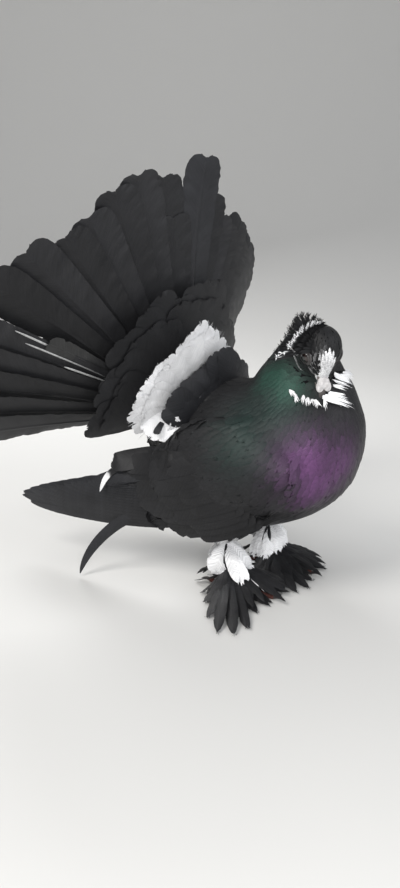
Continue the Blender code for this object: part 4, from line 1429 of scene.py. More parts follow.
    def white_piece(self) -> list[Piece]:
        """The white-edged coverts round the rump, with their loose barbs.

        Returns:
            The coverts and the barbs.
        """
        draw = random.Random(SEED + 2)
        flock = Flock("tail_white_coverts", FRINGED_CUT, 23)
        barbs = Flock("tail_white_barbs", BARB_CUT, 24)
        wide = self.white_coverts[3]
        for count, drop, lift in ((27, 0.0, 1.0), (26, 7.0, 2.0)):
            for theta in self.ring((-104, 124), count + 2, 2.5, draw):
                far = 1 - 0.36 * soft_step(-theta, -26, 15) - 0.04 * soft_step(theta, 60, 100)
                far -= 0.08 * soft_step(theta, 90, 102) + 0.24 * soft_step(theta, 102, 120)
                reach = (self.band_reach * far - drop) * draw.uniform(0.96, 1.04)
                lifts = (0.0, lift + draw.uniform(-0.4, 0.6))
                path, ups = self.blade(self.white_coverts, theta, reach, lifts)
                flock.add(path, ups, wide * draw.uniform(0.85, 1.1), Dress(BLACK, WHITE, (0.12, 0.25)))
                fringe(barbs, path, ups, wide, draw, 14 if drop == 0 else 0, 1.6, WHITE, 0.5)
        face = unit(np.array(self.band_face))
        for root, tip, half_width, tint in self.band_end:
            start, run = np.array(root), np.array(tip) - np.array(root)
            path = [start + run * t + face * (3.0 * math.sin(math.pi * t)) for t in (0, 0.25, 0.5, 0.75, 1)]
            flock.add(path, [face] * 5, half_width, Dress(tint, tint))
            fringe(barbs, path, [face] * 5, half_width, draw, 10 if tint == WHITE else 0, 1.6, WHITE, 0.5)
        return [flock.build(self.unwrap), barbs.build(self.unwrap)]

    def rump_piece(self) -> Piece:
        """Broad soft feathers over the rump, down to the edge of the white band.

        Returns:
            The piece.
        """
        draw = random.Random(SEED + 3)
        flock = Flock("rump_coverts", COVERT_CUT, 25)
        wide, deep = self.rump_radii
        for start, reach, count, rise in self.rump_rows:
            for theta in self.ring((-112, 106), count, 3.0, draw):
                outward, front = self.directions(theta, 0.0)
                end = reach * draw.uniform(0.96, 1.04) * (1 - 0.4 * soft_step(theta, 84, 104))
                white_spot = start == self.rump_rows[0][0] and theta > 90
                end = 42.0 if white_spot else end * (1 - 0.15 * soft_step(-theta, 10, 40))
                first, second = (h * math.exp(-(((theta - a) / b) ** 2)) for h, a, b in self.rump_humps)
                end *= 1 + first + second
                path, ups = [], []
                for k in range(4):
                    r = start + (end - start) * k / 3
                    round_over = deep * math.sqrt(max(1 - (r / (wide + 6)) ** 2, 0.0))
                    path.append(np.array(self.rump_centre) + outward * r + front * (round_over + rise))
                    ups.append(unit(front + outward * (0.4 * r / wide)))
                dress = Dress(BLACK, WHITE if white_spot else SLATE, (0.1, 0.7))
                flock.add(path, ups, self.rump_half_width * draw.uniform(0.9, 1.1), dress)
        return flock.build(self.unwrap)


def fringe(
    barbs: Flock, path: Rows, ups: Rows, half_width: float, draw: random.Random,
    count: int, reach: float, colour: Colour, fine: float = 1.0,
) -> None:
    """Adds loose barbs about the tip of a feather.

    Args:
        barbs: where they are gathered.
        path: the feather's points from root to tip.
        ups: the directions that its face looks.
        half_width: its half width.
        draw: the random draw.
        count: how many barbs.
        reach: how far they pass the feather's edge.
        colour: their colour.
        fine: their width as a share of the usual one.
    """
    tip, before = path[-1], path[-2]
    along = unit(tip - before)
    up = unit(ups[-1])
    side = unit(np.cross(along, up))
    for _ in range(count):
        across = draw.uniform(-1, 1)
        back = draw.uniform(0.1, 1.1) * half_width
        start = tip - along * (back + abs(across) * half_width * 0.6) + side * (across * half_width * 0.7)
        flow = unit(along + side * (across * 0.9 + draw.uniform(-0.25, 0.25)))
        length = back + reach * draw.uniform(0.3, 1.0)
        curl = up * draw.uniform(-0.5, 1.4)
        points = [start + flow * (length * t) + curl * (t * t) for t in (0, 1 / 3, 2 / 3, 1)]
        barbs.add(points, [up] * 4, draw.uniform(0.3, 0.6) * fine, Dress(colour, colour))


@dataclass
class Wing:
    """Flight feathers and rows of coverts of one folded wing.

    A row is (first root, last root, step to the tip, count, half width, lifts at root and tip).
    """

    unwrap: Unwrap
    side: Side
    roots: tuple[Pair, Pair] = ((-34, 47), (-24, 88))
    tips: tuple[Pair, ...] = (
        (-170, 38), (-178, 42), (-176, 45), (-169, 48.5), (-160, 52), (-150, 55), (-141, 57.5),
        (-132, 60), (-124, 62), (-117, 64), (-106, 66), (-102, 67.5), (-99, 68.5), (-96, 69.5),
        (-93, 70.5), (-90, 71.5), (-87, 72), (-84, 72.5),
    )
    half_width: float = 8.5
    rise: float = 0.5
    lap: Pair = (26.0, 8.0)
    covert_lap: Pair = (12.0, 4.0)
    rows: tuple = (
        ((14, 58), (-30, 93), (-50, -11), 13, 9.0, 4.0, 7.0),
        ((22, 58), (-18, 95), (-42, -11), 13, 8.5, 4.4, 7.2),
        ((26, 59), (-8, 98), (-34, -10), 13, 7.5, 3.6, 6.8),
    )
    white_tertial: tuple = ((-40, 82), (-62, 83), (-76, 79), (-85, 72), (-91, 62))
    stray: tuple = ((-44, 52, 52), (-71, 54, 46), (-92, 59, 30), (-105, 70, 2.2))

    def blade(self, root: Pair, tip: Pair, lifts: Pair, lap: Pair) -> Arrays:
        """Path of a feather on the wing's sheet.

        Args:
            root: its root, as (x, height).
            tip: its tip.
            lifts: how far root and tip stand off the sheet.
            lap: how far its face is turned at root and tip.

        Returns:
            Its points and the directions that its face looks.
        """
        along = unit(np.array((tip[0] - root[0], 0.0, tip[1] - root[1])))
        path, ups = [], []
        for k in range(5):
            t = k / 4
            point, normal = WING.surface(*mix(root, tip, t), self.side)
            path.append(point + normal * ramp(lifts, t))
            ups.append(turned(normal, along, ramp(lap, t) * self.side.value))
        return np.array(path), np.array(ups)

    def flight(self) -> Piece:
        """Primaries and secondaries, each lapping over the one below it.

        Returns:
            The piece.
        """
        flock = Flock("flight_" + self.side.word, FLIGHT_CUT, 31)
        for i, tip in enumerate(self.tips):
            root = mix(*self.roots, i / (len(self.tips) - 1))
            path, ups = self.blade(root, tip, (0.3, self.rise * i), self.lap)
            flock.add(path, ups, self.half_width, Dress(CHARCOAL, SLATE, (0.1, 0.9)))
        if self.side is Side.RIGHT:
            spots = [WING.surface(x, z, self.side) for x, z in self.white_tertial]
            path = [spot + face * lift for (spot, face), lift in zip(spots, (1.0, 4.0, 7.6, 9.6, 9.8))]
            ups = [face for _, face in spots]
            flock.add(path, ups, 3.0, Dress(CHARCOAL, WHITE, (0.66, 0.70)))
            a, b, c, d = np.array([(x, -out, z) for x, out, z in self.stray])
            face = unit(np.array((0.35, -1.0, 0.0)))
            flock.add((a, (a + b) / 2, b, c, d), [face] * 5, 5.2, Dress(CHARCOAL, SLATE, (0.2, 0.8)))
        return flock.build(self.unwrap)

    def coverts(self) -> Piece:
        """Rows of coverts and scapulars over the roots of the flight feathers.

        Returns:
            The piece.
        """
        draw = random.Random(SEED + 5)
        flock = Flock("coverts_" + self.side.word, COVERT_CUT, 32)
        for first, last, step, count, half_width, lift_root, lift_tip in self.rows:
            for i in range(count):
                root = mix(first, last, i / (count - 1))
                tip = (root[0] + step[0] * draw.uniform(0.9, 1.1), root[1] + step[1] + draw.uniform(-2, 2))
                lifts = (lift_root, lift_tip * draw.uniform(0.95, 1.04))
                path, ups = self.blade(root, tip, lifts, self.covert_lap)
                gloss = MARKINGS.gloss(path[2])[0] * 0.4
                flock.add(path, ups, half_width, Dress(BLACK, CHARCOAL, (0.3, 0.9), tuple(gloss)))
        return flock.build(self.unwrap)


@dataclass
class Crest:
    """Shell crest round the back of the crown, in layers.

    Black feathers run from the head to a fine white edge, and longer black ones stand behind it. An edge is
    rows of (angle round the crown, reach of the white edge, reach of the outer edge).
    """

    unwrap: Unwrap
    edge: tuple = (
        (-32, 8.5, 9.5), (-10, 10, 12), (10, 14, 18), (28, 16.8, 25), (44, 19, 29.5), (60, 21.8, 30),
        (76, 25.8, 31.5), (88, 29.5, 36.5), (96, 37, 43),
    )
    rise: Pair = (-1.0, 3.0)
    wisps: tuple = (
        ((39.1, -41.8, 170.1), (40.8, -40.2, 167.2), (42.5, -37.5, 164.5), (43.0, -35.5, 162.6)),
        ((42.0, -38.5, 163.0), (41.0, -34.0, 159.5), (39.5, -29.0, 155.5), (41.5, -26.0, 152.5)),
    )

    def reaches(self, angle: float) -> tuple[float, float]:
        """Reach of the white and of the outer edge at an angle."""
        angles, white, outer = zip(*self.edge)
        return float(np.interp(angle, angles, white)), float(np.interp(angle, angles, outer))

    def feather(self, angle: float, start: float, reach: float, lift: float) -> Arrays:
        """Path of a crest feather at an angle round the crown.

        Args:
            angle: its angle.
            start: how far from the crown's middle it starts.
            reach: how far its tip is.
            lift: how far its layer stands up.

        Returns:
            Its points and the directions that its face looks.
        """
        along, up, right = HEAD.axes()
        b = math.radians(angle)
        outward = right * math.sin(b) - along * math.cos(b)
        path, ups = [], []
        for k in range(4):
            t = k / 3
            height = lift + self.rise[0] + (self.rise[1] - self.rise[0]) * t * t
            path.append(np.array(HEAD.centre) + outward * (start + (reach - start) * t) + up * height)
            ups.append(turned(up, outward, 26 - 20 * t))
        return np.array(path), np.array(ups)

    def build(self) -> list[Piece]:
        """Builds the crest and its loose barbs.

        Returns:
            The two pieces.
        """
        draw = random.Random(SEED + 7)
        flock = Flock("crest", PLUME_CUT, 41)
        barbs = Flock("crest_barbs", BARB_CUT, 42)
        low, high = self.edge[0][0], self.edge[-1][0]
        for layer, count, start, lift, wide in (
            (Layer.OUTER, 52, 9.0, -1.2, 2.0),
            (Layer.OUTER, 48, 8.0, 0.0, 1.9),
            (Layer.EDGE, 66, 9.0, 1.4, 1.15),
            (Layer.INNER, 42, 7.0, 2.8, 1.5),
            (Layer.INNER, 36, 5.0, 4.2, 1.5),
        ):
            for i in range(count):
                angle = low + (high - low) * i / (count - 1) + draw.uniform(-2.5, 2.5)
                white, outer = self.reaches(angle)
                if layer is Layer.OUTER:
                    path, ups = self.feather(angle, start, outer * draw.uniform(0.86, 0.97), lift)
                    flock.add(path, ups, wide, Dress(BLACK, CHARCOAL))
                    fringe(barbs, path, ups, wide, draw, 8, 1.1, BLACK, 0.4)
                elif layer is Layer.EDGE:
                    path, ups = self.feather(angle, start, white * draw.uniform(0.94, 1.04), lift)
                    pale = WHITE if angle > 14 else CHARCOAL
                    flock.add(path, ups, wide, Dress(BLACK, pale, (0.84, 0.92)))
                    fringe(barbs, path, ups, wide, draw, 5, 1.8, pale, 0.5)
                else:
                    reach = (white - (0.22 if start > 6 else 0.42) * (white - 5)) * draw.uniform(0.93, 1.02)
                    path, ups = self.feather(angle, start, reach, lift)
                    flock.add(path, ups, wide, Dress(BLACK, BLACK))
        for wisp in self.wisps:
            for _ in range(3):
                path = [[v + draw.uniform(-0.5, 0.5) for v in point] for point in wisp]
                barbs.add(path, [HEAD.axes()[2]] * 4, 0.28, Dress(WHITE, WHITE))
        return [flock.build(self.unwrap), barbs.build(self.unwrap)]


@dataclass
class Bib:
    """White spray of feathers under the chin, laid over the neck. A tuft is (root, tip, half width)."""

    unwrap: Unwrap
    tufts: tuple = (
        ((33.6, -26.4, 138.9), (39.9, -28.1, 134.6), 1.0),
        ((37.9, -27.7, 137.0), (40.8, -29.0, 130.6), 1.0),
        ((42.1, -26.0, 136.7), (43.2, -28.4, 131.6), 0.9),
        ((45.0, -25.6, 135.8), (46.1, -28.3, 130.5), 0.9),
        ((47.5, -24.5, 135.0), (48.2, -25.6, 129.8), 0.9),
        ((49.3, -23.9, 134.6), (52.0, -24.0, 127.8), 1.0),
        ((53.0, -19.7, 134.8), (54.5, -21.9, 127.2), 0.8),
        ((53.9, -18.8, 136.0), (63.0, -3.4, 126.4), 2.4),
        ((54.9, -15.0, 138.0), (61.6, -3.0, 131.6), 1.9),
        ((55.2, -10.9, 142.3), (58.5, -2.5, 138.0), 1.0),
        ((54.8, -8.4, 148.5), (59.0, 2.5, 141.0), 2.2),
        ((54.0, -4.4, 147.0), (55.0, 9.5, 141.0), 1.6),
        ((52.0, 0.6, 147.0), (50.0, 13.5, 140.0), 1.6),
        ((48.0, 3.6, 146.0), (43.0, 15.5, 138.0), 1.6),
    )
    strands: int = 8
    broad: float = 1.5

    def between_tufts(self, draw: random.Random) -> tuple:
        """Smaller tufts, each a draw between two neighbours.

        Args:
            draw: the random draw.

        Returns:
            The tufts.
        """
        out = []
        for (a, b, wide), (c, d, broad) in zip(self.tufts, self.tufts[1:]):
            if broad > self.broad:
                t, reach = draw.uniform(0.25, 0.75), draw.uniform(0.7, 1.05)
                start, tip = blended(a, c, t), blended(b, d, t)
                out.append((start, start + (tip - start) * reach, 0.5 * min(wide, broad)))
        return tuple(out)

    def build(self) -> Piece:
        """Builds the spray, each tuft of pointed strands that part towards its tip.

        Returns:
            The piece.
        """
        draw = random.Random(SEED + 8)
        flock = Flock("bib", STRAND_CUT, 43)
        for start, tip, wide in self.tufts + self.between_tufts(draw):
            start, tip = np.array(start), np.array(tip)
            side = unit(np.cross(tip - start, (0.6, -0.75, 0.1)))
            for k in range(self.strands):
                across = (k / (self.strands - 1) - 0.5) * 2 * wide
                across += draw.uniform(-0.3, 0.3) if wide > self.broad else 0.0
                run = (tip - start) * draw.uniform(0.5, 1.15) * (1 - 0.25 * abs(across / wide))
                bow = side * draw.uniform(-0.7, 0.7)
                parting = 1.3 if wide < self.broad else 0.7
                path, ups = [], []
                for j in range(4):
                    t = j / 3
                    spot = start + run * (1.15 * t - 0.15) + side * across * (0.4 + parting * t)
                    spot += bow * t * (1 - t) * 2
                    point, normal = self.unwrap.tree.find_nearest(Vector(spot))[:2]
                    path.append(point + normal * (1.5 + 0.5 * j + draw.uniform(0, 0.4)))
                    ups.append(normal)
                half_width = draw.uniform(0.3, 0.55) * (0.5 + 0.5 * wide)
                flock.add(path, ups, half_width, Dress(WHITE, WHITE))
        return flock.build(self.unwrap)


@dataclass(frozen=True)
class FootFan:
    """Where the feathers of one foot point.

    Long ones, toe covers and pale quills are (angle on the floor, reach). Boots are (angle, reach, half
    width, height of the tip, direction faced), and the thin dark streaks between them (angle, reach, height).
    """

    long_ones: tuple[Pair, ...]
    boots: tuple[tuple[float, ...], ...]
    streaks: tuple[Triple, ...]
    toe_covers: tuple[Pair, ...]
    pale_quills: tuple[Pair, ...] = ()


RIGHT_FAN = FootFan(
    ((-108, 22), (-84, 32), (-69, 54), (-61, 74), (-53, 77), (-45, 68), (-32, 48), (-12, 38), (10, 40)),
    (
        (-128, 10, 10.5, 11, -62), (-30, 25, 5.4, 12, -57), (30, 17, 5, 14, -20), (80, 16, 6.5, 16, 60),
        (150, 14, 8, 15, 150),
    ),
    ((-52, 7, 15), (-62, 6, 17)),
    ((2, 49), (-27, 45), (28, 43), (174, 26)),
    ((-9, 34),),
)
LEFT_FAN = FootFan(
    (
        (-98, 22), (-80, 33), (-62, 45), (-48, 57), (-40, 60), (-29, 56), (-17, 47), (-4, 40), (8, 38),
        (20, 42), (34, 39), (50, 32), (72, 24),
    ),
    (
        (-15, 17, 4.5, 18, -40), (-40, 20, 4.5, 15, -57), (-64, 22, 4.5, 12, -60),
        (-88, 21, 4.5, 12, -66), (30, 12, 5, 16, 10), (80, 11, 6, 15, 70), (150, 14, 8, 14, 150),
    ),
    ((-54, 18, 13), (-80, 17, 13)),
    ((-2, 49), (27, 43), (-28, 43), (-174, 26)),
)


@dataclass
class Muff:
    """Long feathering of one foot: a white boot over a dark fan.

    Toe layers are (turn from the toe, share of the reach, heights from root to tip), and boot layers are
    (turn, share of the reach, bulge).
    """

    unwrap: Unwrap
    side: Side
    fan: FootFan
    root: Pair = (-12.0, 27.0)
    hock_height: float = 33.0
    half_width: float = 7.0
    toe_half_width: float = 5.0
    lap: Pair = (38.0, 12.0)
    heights: tuple[float, ...] = (13.5, 9.5, 4.5, 1.6)
    pale_heights: tuple[float, ...] = (20.0, 15.0, 11.5, 6.5)
    toe_layers: tuple = (
        (-18, 0.9, (13.0, 7.0, 3.8, 1.2)),
        (18, 0.9, (13.0, 7.0, 3.8, 1.2)),
        (-7, 1.0, (15.0, 12.5, 9.4, 3.4)),
        (7, 0.93, (16.0, 13.5, 10.4, 3.9)),
        (0, 0.8, (17.2, 14.7, 11.6, 4.5)),
    )
    boot_layers: tuple[Triple, ...] = ((-8, 0.9, 5.4), (9, 0.94, 6.2), (0, 1.0, 7.0))

    @property
    def centre(self) -> Array:
        """The foot's middle on the floor."""
        return self.side.mirrored((*self.root, 0))

    def blade(self, angle: float, reach: float, heights: tuple[float, ...]) -> Arrays:
        """Path of a foot feather from the shank outwards, down towards the floor.

        Args:
            angle: direction of its tip.
            reach: how far out the tip is.
            heights: height of each point from root to tip.

        Returns:
            Its points and the directions that its face looks.
        """
        outward, z = heading(angle), np.array((0.0, 0.0, 1.0))
        path, ups = [], []
        for k, height in enumerate(heights):
            t = k / (len(heights) - 1)
            path.append(self.centre + outward * (reach * t) + z * height)
            ups.append(turned(z, outward, ramp(self.lap, t)))
        return np.array(path), np.array(ups)

    def build(self) -> list[Piece]:
        """Builds the feathers of the foot and their loose barbs.

        Returns:
            The two pieces.
        """
        draw = random.Random(SEED + 9)
        fan = self.fan
        flock = Flock("muff_" + self.side.word, MUFF_CUT, 51)
        barbs = Flock(flock.name + "_barbs", BARB_CUT, 52)
        dark = Dress(SLATE, CHARCOAL, (0.2, 0.6))
        for angle, reach in fan.toe_covers:
            for turn, share, heights in self.toe_layers:
                path, ups = self.blade(angle + turn, reach * share, heights)
                flock.add(path, ups, self.toe_half_width, dark)
        for angle, reach, share, rise in self.shorter(fan.long_ones, draw):
            heights = (*(height + rise for height in self.heights[:3]), self.heights[3] + rise / 3)
            path, ups = self.blade(angle, reach * share, heights)
            flock.add(path, ups, self.half_width * (0.55 + 0.45 * reach / 75), dark)
            fringe(barbs, path, ups, 1.6, draw, 5, 1.0, CHARCOAL, 0.4)
        for angle, reach, wide, height, facing in fan.boots:
            for turn, share, bulge in self.boot_layers:
                end = height + 12 * (1 - share)
                path, ups = self.hanging(angle + turn, reach, end, facing + turn, bulge)
                flock.add(path, ups, wide * draw.uniform(0.9, 1.05), Dress(WHITE, WHITE))
            fringe(barbs, path, ups, wide * 0.7, draw, 8, 2.0, WHITE)
        for angle, reach, height in fan.streaks:
            flock.add(*self.hanging(angle, reach, height, -57, 8.2), 2.6, Dress(SLATE, SLATE))
        for angle, reach in fan.pale_quills:
            barbs.add(*self.blade(angle, reach, self.pale_heights), 0.75, Dress(WHITE, WHITE))
        return [flock.build(self.unwrap), barbs.build(self.unwrap)]

    def hanging(self, angle: float, reach: float, low: float, facing: float, bulge: float) -> Arrays:
        """Path of a feather that hangs from the hock.

        Args:
            angle: direction of its tip from the shank.
            reach: how far out the tip is.
            low: height of the tip.
            facing: direction in which its face looks.
            bulge: how far its middle stands out that way.

        Returns:
            Its points and the directions that its face looks.
        """
        outward, face = heading(angle), heading(facing)
        path, ups = [], []
        for k in range(4):
            t = k / 3
            spot = self.centre + outward * (reach * t)
            spot[2] = ramp((self.hock_height, low), t)
            path.append(spot + face * (bulge * math.sin(math.pi * min(0.8 * t + 0.2, 1))))
            ups.append(unit(face + np.array((0, 0, 0.5 - 0.3 * t))))
        return np.array(path), np.array(ups)

    def shorter(self, fan: tuple[Pair, ...], draw: random.Random) -> list[tuple[float, float, float, float]]:
        """The named feathers of a fan, with shorter ones laid over the gaps between them.

        Args:
            fan: the named feathers, as (angle, reach).
            draw: the random draw.

        Returns:
            Rows of (angle, reach, share of the reach, height over the named ones).
        """
        rows = []
        for i, (angle, reach) in enumerate(fan):
            rows.append((angle, reach, 1.0, 0.0))
            if i + 1 < len(fan):
                angle, reach = mix(fan[i], fan[i + 1], 0.5)
                rows.append((angle + draw.uniform(-2, 2), reach, draw.uniform(0.68, 0.84), 1.6))
                rows.append((angle + draw.uniform(-5, 5), reach, draw.uniform(0.45, 0.6), 3.4))
        return rows


@dataclass
class Face:
    """Eyes with their lids, both halves of the bill, and the cere over its root."""

    eye_radius: float = 4.3
    lid_rise: float = 2.3
    lid_radius: float = 3.8
    lid_tube: float = 0.45
    bill_start: float = 16.5
    bill_length: float = 16.5
    hook: float = 1.2
    gap: float = 0.3
    mouth: float = -3.4
    cere_voxel: float = 0.3
    nostril: Triple = (26.0, -1.8, 4.8)
    nostril_depth: float = 0.7
    bill_widths: tuple = ((0, 3.6), (0.25, 3.4), (0.5, 2.9), (0.75, 2.3), (0.92, 1.6), (1.0, 0.5))

    def outward(self, side: Side) -> Array:
        """Direction in which an eye looks."""
        along, _, right = HEAD.axes()
        return unit(right * side.value + along * 0.25)

    def middle(self, side: Side) -> Vector:
        """The middle of an eye."""
        return Vector(HEAD.point(EYE[0], EYE[1], EYE[2] * side.value))

    def eye(self, side: Side) -> Piece:
        """One eye, its poles along the way that it looks.

        Args:
            side: which eye.

        Returns:
            The piece.
        """
        look, centre = Vector(self.outward(side)), self.middle(side)
        place = Matrix.Translation(centre) @ look.to_track_quat("Z", "Y").to_matrix().to_4x4()
        bm = bmesh.new()
        bmesh.ops.create_uvsphere(bm, u_segments=48, v_segments=32, radius=self.eye_radius, matrix=place)
        facing = [(v.co - centre).normalized().dot(look) for v in bm.verts]
        obj = link_mesh("eyeball_" + side.word, bm)
        store_share(obj.data, [math.acos(max(-1, min(1, dot))) / math.pi * 2 for dot in facing])
        return obj

    def lid(self, side: Side) -> Piece:
        """The ring of bare lids about one eye, with a crease round it.

        Args:
            side: which eye.

        Returns:
            The piece.
        """
        look = Vector(self.outward(side))
        centre = self.middle(side) + look * self.lid_rise
        bm = bmesh.new()
        first = look.orthogonal().normalized()
        for reach, tube, rise in ((self.lid_radius, self.lid_tube, 0.0), (self.lid_radius + 0.7, 0.5, -0.6)):
            middle = centre + first * reach + look * rise
            place = ring_matrix(np.array(middle), np.array(first), np.array(look), tube, tube * 0.8)
            made = bmesh.ops.create_circle(bm, cap_ends=False, segments=10, radius=1.0, matrix=place)["verts"]
            geom = made + ring_edges(made)
            bmesh.ops.spin(bm, geom=geom, cent=centre, axis=look, angle=2 * math.pi, steps=48, use_merge=True)
        bmesh.ops.remove_doubles(bm, verts=bm.verts, dist=1e-4)
        return link_mesh("lids_" + side.word, bm)

    def bill(self, upper: bool) -> Piece:
        """Upper or lower half of the bill, parted by the line of the mouth.

        Args:
            upper: whether it is the upper one.

        Returns:
            The piece.
        """
        _, up, right = HEAD.axes()
        sign = 1 if upper else -1
        length = self.bill_length if upper else self.bill_length - self.hook
        bm = bmesh.new()
        rings = []
        for t, wide in between(self.bill_widths, 2):
            high = wide * (0.95 if upper else 0.62) / 2
            drop = self.mouth - 0.12 * max(t * length - 0.6 * self.bill_length, 0)
            centre = HEAD.point(self.bill_start + t * length, drop + sign * (self.gap / 2 + high), 0)
            rings.append((centre, right, up, wide, high))
        shares = ring_shares(bm, loft(bm, rings, 24))
        obj = link_mesh("bill_top" if upper else "bill_bottom", bm)
        store_share(obj.data, [shares[i] for i in range(len(shares))])
        return obj

    def cere(self) -> Piece:
        """Two soft powdery bulbs over the root of the bill, with a nostril slit at the side of each.

        Returns:
            The piece.
        """
        along, up, right = HEAD.axes()
        bm = bmesh.new()
        for centre, *axes in (
            (HEAD.point(23.6, -0.5, 2.5), right * 3.0, along * 3.7 + right * 0.6, up * 1.8),
            (HEAD.point(23.6, -0.5, -2.5), right * 3.0, along * 3.7 - right * 0.6, up * 1.8),
            (HEAD.point(20.8, -0.3, 0.0), right * 4.4, along * 2.8, up * 1.5),
        ):
            place = Matrix((*np.array((*axes, centre)).T.tolist(), (0, 0, 0, 1)))
            bmesh.ops.create_icosphere(bm, subdivisions=4, radius=1.0, matrix=place)
        obj = remeshed("cere_bulbs", bm, self.cere_voxel, 8)
        co = np.array([v.co for v in obj.data.vertices])
        for hand in (1, -1):
            slit = HEAD.local(co) - np.array(self.nostril) * (1, 1, hand)
            dent = np.exp(-((slit[:, 0] / 1.5) ** 2 + (slit[:, 1] / 0.55) ** 2 + (slit[:, 2] / 1.2) ** 2))
            co -= (right * hand * self.nostril_depth)[None] * dent[:, None]
        obj.data.vertices.foreach_set("co", co.astype(np.float32).ravel())
        return obj


@dataclass
class Claws:
    """The claw at the end of each toe, curved down to the floor."""

    joint: Triple = (-4.0, 27.0, 0.0)
    length: float = 7.5
    buried: float = 1.2
    gap: float = 0.36
    root_radius: float = 1.35
    tip_radius: float = 0.15

    def build(self, side: Side) -> Piece:
        """Builds the four claws of a foot as one piece.

        Args:
            side: which foot.

        Returns:
            The piece.
        """
        bm = bmesh.new()
        z = np.array((0.0, 0.0, 1.0))
        shares: dict[int, float] = {}
        for angle, reach in TOES:
            along = heading(angle * side.value)
            across = np.cross(z, along)
            start = side.mirrored(self.joint) + along * (reach + self.gap - self.buried)
            rings = []
            for k in range(9):
                t = k / 8
                wide = self.root_radius * (1 - t) ** 0.8 + self.tip_radius
                height = max(1.6 + 1.4 * math.sin(math.pi * t * 0.9) - 1.3 * t, wide)
                middle = start + along * (t * (self.length + self.buried)) + z * height
                rings.append((middle, across, z, wide * 0.8, wide))
            shares.update(ring_shares(bm, loft(bm, rings, 12)))
        obj = link_mesh("claws_" + side.word, bm)
        store_share(obj.data, [shares[i] for i in range(len(shares))])
        return obj


@dataclass
class Studio:
    """Pale floor that curves up behind, soft lights, and the camera of the view."""

    camera_place: Triple = (298.0, -500.0, 240.5)
    right: Triple = (0.819, 0.574, 0.0)
    up: Triple = (-0.1388, 0.1982, 0.9703)
    focal: float = 900.0
    tall: float = 888.0
    sensor: float = 36.0
    lights: tuple = (
        ("key", (-150, -900, 900), 0.55, 9.0, (1.0, 0.98, 0.95)),
        ("front", (420, -620, 330), 0.30, 2.4, (1.0, 1.0, 1.0)),
        ("fill", (900, 100, 500), 0.8, 4.0, (0.95, 0.97, 1.0)),
        ("back", (-700, 500, 700), 0.6, 7.0, (1.0, 1.0, 1.0)),
    )
    aim: Triple = (-20.0, 0.0, 120.0)
    floor_near: float = -2500.0
    floor_far: float = 1500.0
    curve: float = 700.0

    def add_camera(self) -> None:
        """Sets the camera at the place and angle of the view."""
        data = bpy.data.cameras.new("view_camera")
        data.sensor_width = self.sensor
        data.lens = self.focal / self.tall * self.sensor
        data.clip_start, data.clip_end = 0.01, 50
        camera = bpy.data.objects.new("view_camera", data)
        right, up = Vector(self.right).normalized(), Vector(self.up).normalized()
        turn = Matrix((right, up, right.cross(up))).transposed().to_4x4()
        camera.matrix_world = Matrix.Translation(Vector((np.array(self.camera_place) + SHIFT) * MM)) @ turn
        bpy.context.scene.collection.objects.link(camera)
        bpy.context.scene.camera = camera

    def add_lights(self) -> None:
        """Sets the soft lights and an even pale surround."""
        for name, place, size, power, colour in self.lights:
            data = bpy.data.lights.new(name, "AREA")
            data.shape, data.size, data.energy, data.color = "DISK", size, power, colour
            lamp = bpy.data.objects.new(name, data)
            spot, aim = ((Vector(p) + Vector(SHIFT)) * MM for p in (place, self.aim))
            lamp.visible_camera = False
            turn = (aim - spot).to_track_quat("-Z", "Y").to_matrix().to_4x4()
            lamp.matrix_world = Matrix.Translation(spot) @ turn
            bpy.context.scene.collection.objects.link(lamp)
        world = bpy.data.worlds.new("surround")
        world.use_nodes = True
        background = world.node_tree.nodes["Background"]
        background.inputs["Color"].default_value = (0.85, 0.87, 0.9, 1)
        background.inputs["Strength"].default_value = 0.38
        bpy.context.scene.world = world

    def add_floor(self) -> None:
        """Lays the floor and curves it up behind the bird, square to the camera."""
        bm = bmesh.new()
        bmesh.ops.create_grid(bm, x_segments=1, y_segments=60, size=1.0)
        forward = Vector((-self.right[1], self.right[0], 0)).normalized()
        across = Vector(self.right).normalized()
        for vert in bm.verts:
            run = self.floor_near + (self.floor_far + self.curve * 3 - self.floor_near) * (vert.co.y + 1) / 2
            bend = min(max((run - self.floor_far + self.curve) / self.curve, 0.0), math.pi / 2)
            flat = min(run, self.floor_far - self.curve) + self.curve * math.sin(bend)
            high = self.curve * (1 - math.cos(bend))
            high += max(run - self.floor_far + self.curve - self.curve * math.pi / 2, 0)
            vert.co = (forward * flat + across * (vert.co.x * 3000) + Vector((0, 0, high))) * MM
        obj = link_mesh("floor", bm)
        obj.data.materials.append(PlainFinish("studio_floor").material())
        obj.data.shade_smooth()

    def build(self) -> None:
        """Sets up the whole studio."""
        self.add_camera()
        self.add_lights()
        self.add_floor()
        bpy.context.scene.view_settings.view_transform = "Standard"


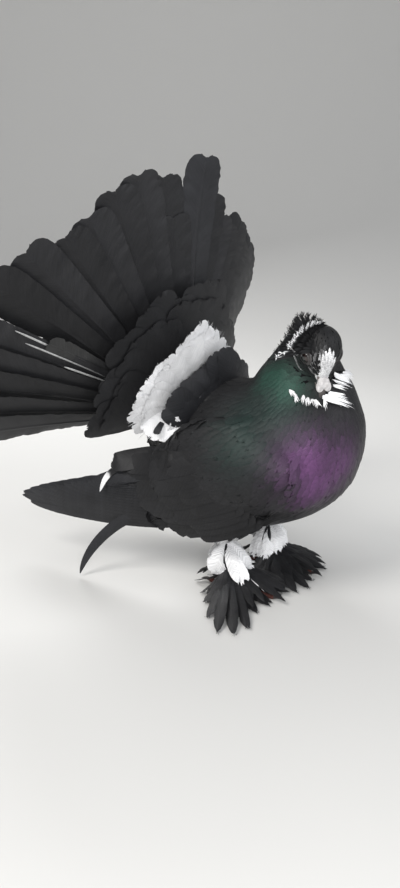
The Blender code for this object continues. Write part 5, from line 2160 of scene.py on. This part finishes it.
def main() -> None:
    """Builds the bird's pieces in order and sets the studio about it."""
    logging.basicConfig(level=logging.INFO, format="%(message)s")
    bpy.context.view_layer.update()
    feather = FeatherFinish("feather").material()
    quill = FeatherFinish("quill", roughness=0.48, barbs=0.3, depth=0.0002).material()
    loose = FeatherFinish("loose_barbs", roughness=0.6, barbs=0.1).material()

    skin, unwrap = Skin().build()
    coats = Coat(skin, unwrap).build()
    tail = Tail(unwrap)
    tails = [tail.quill_piece(), tail.covert_piece(), tail.rump_piece(), *tail.white_piece()]
    crest, bib = Crest(unwrap).build(), Bib(unwrap).build()
    fans = {Side.RIGHT: RIGHT_FAN, Side.LEFT: LEFT_FAN}
    muffs = {side: Muff(unwrap, side, fan).build() for side, fan in fans.items()}
    for piece in coats:
        finish_piece(piece, feather, "head_feathers" if "head" in piece.name else "body_feathers")
    for piece, finish in zip(tails, (quill, feather, feather, loose, loose)):
        finish_piece(piece, finish, "tail_feathers", tail.nodes if finish is quill else ())
    for side in Side:
        wing = Wing(unwrap, side)
        finish_piece(wing.flight(), quill, "wing_feathers", ("wing_" + side.word,))
        finish_piece(wing.coverts(), feather, "wing_feathers")
    for piece in (*crest, bib):
        finish_piece(piece, loose, "head_feathers")
    for side, (muff, barbs) in muffs.items():
        finish_piece(muff, feather, "foot_feathers", ("foot_" + side.word,))
        finish_piece(barbs, loose, "foot_feathers")

    face = Face()
    eye_glass = EyeFinish("eye_glass").material()
    lid_skin = HornFinish("lid_skin", (0.075, 0.07, 0.07), (0.035, 0.032, 0.032), 900.0, 0.6).material()
    horn = TintedHornFinish("bill_horn", (0.12, 0.105, 0.10), (0.03, 0.027, 0.027)).material()
    powdery = {"grain": 1300.0, "roughness": 0.8, "depth": 0.00025, "powder": 0.3}
    cere_skin = HornFinish("cere_skin", (0.62, 0.60, 0.595), (0.45, 0.43, 0.43), **powdery).material()
    claw_horn = TintedHornFinish("claw_horn", (0.05, 0.04, 0.04), (0.02, 0.018, 0.018)).material()
    for side in Side:
        finish_piece(face.eye(side), eye_glass, "eye_glass", ("eye_" + side.word,))
        finish_piece(face.lid(side), lid_skin, "cere_skin")
        nodes = tuple(f"claw_{side.word}_{k}" for k in (1, 2, 3, 4))
        finish_piece(Claws().build(side), claw_horn, "claw_horn", nodes)
    finish_piece(face.bill(True), horn, "bill_horn", ("bill_upper",))
    finish_piece(face.bill(False), horn, "bill_horn", ("bill_lower",))
    finish_piece(face.cere(), cere_skin, "cere_skin", ("cere",))
    finish_piece(skin, DownFinish("down").material(), "body_feathers", Skin().nodes)

    Studio().build()


if __name__ == "__main__":
    main()
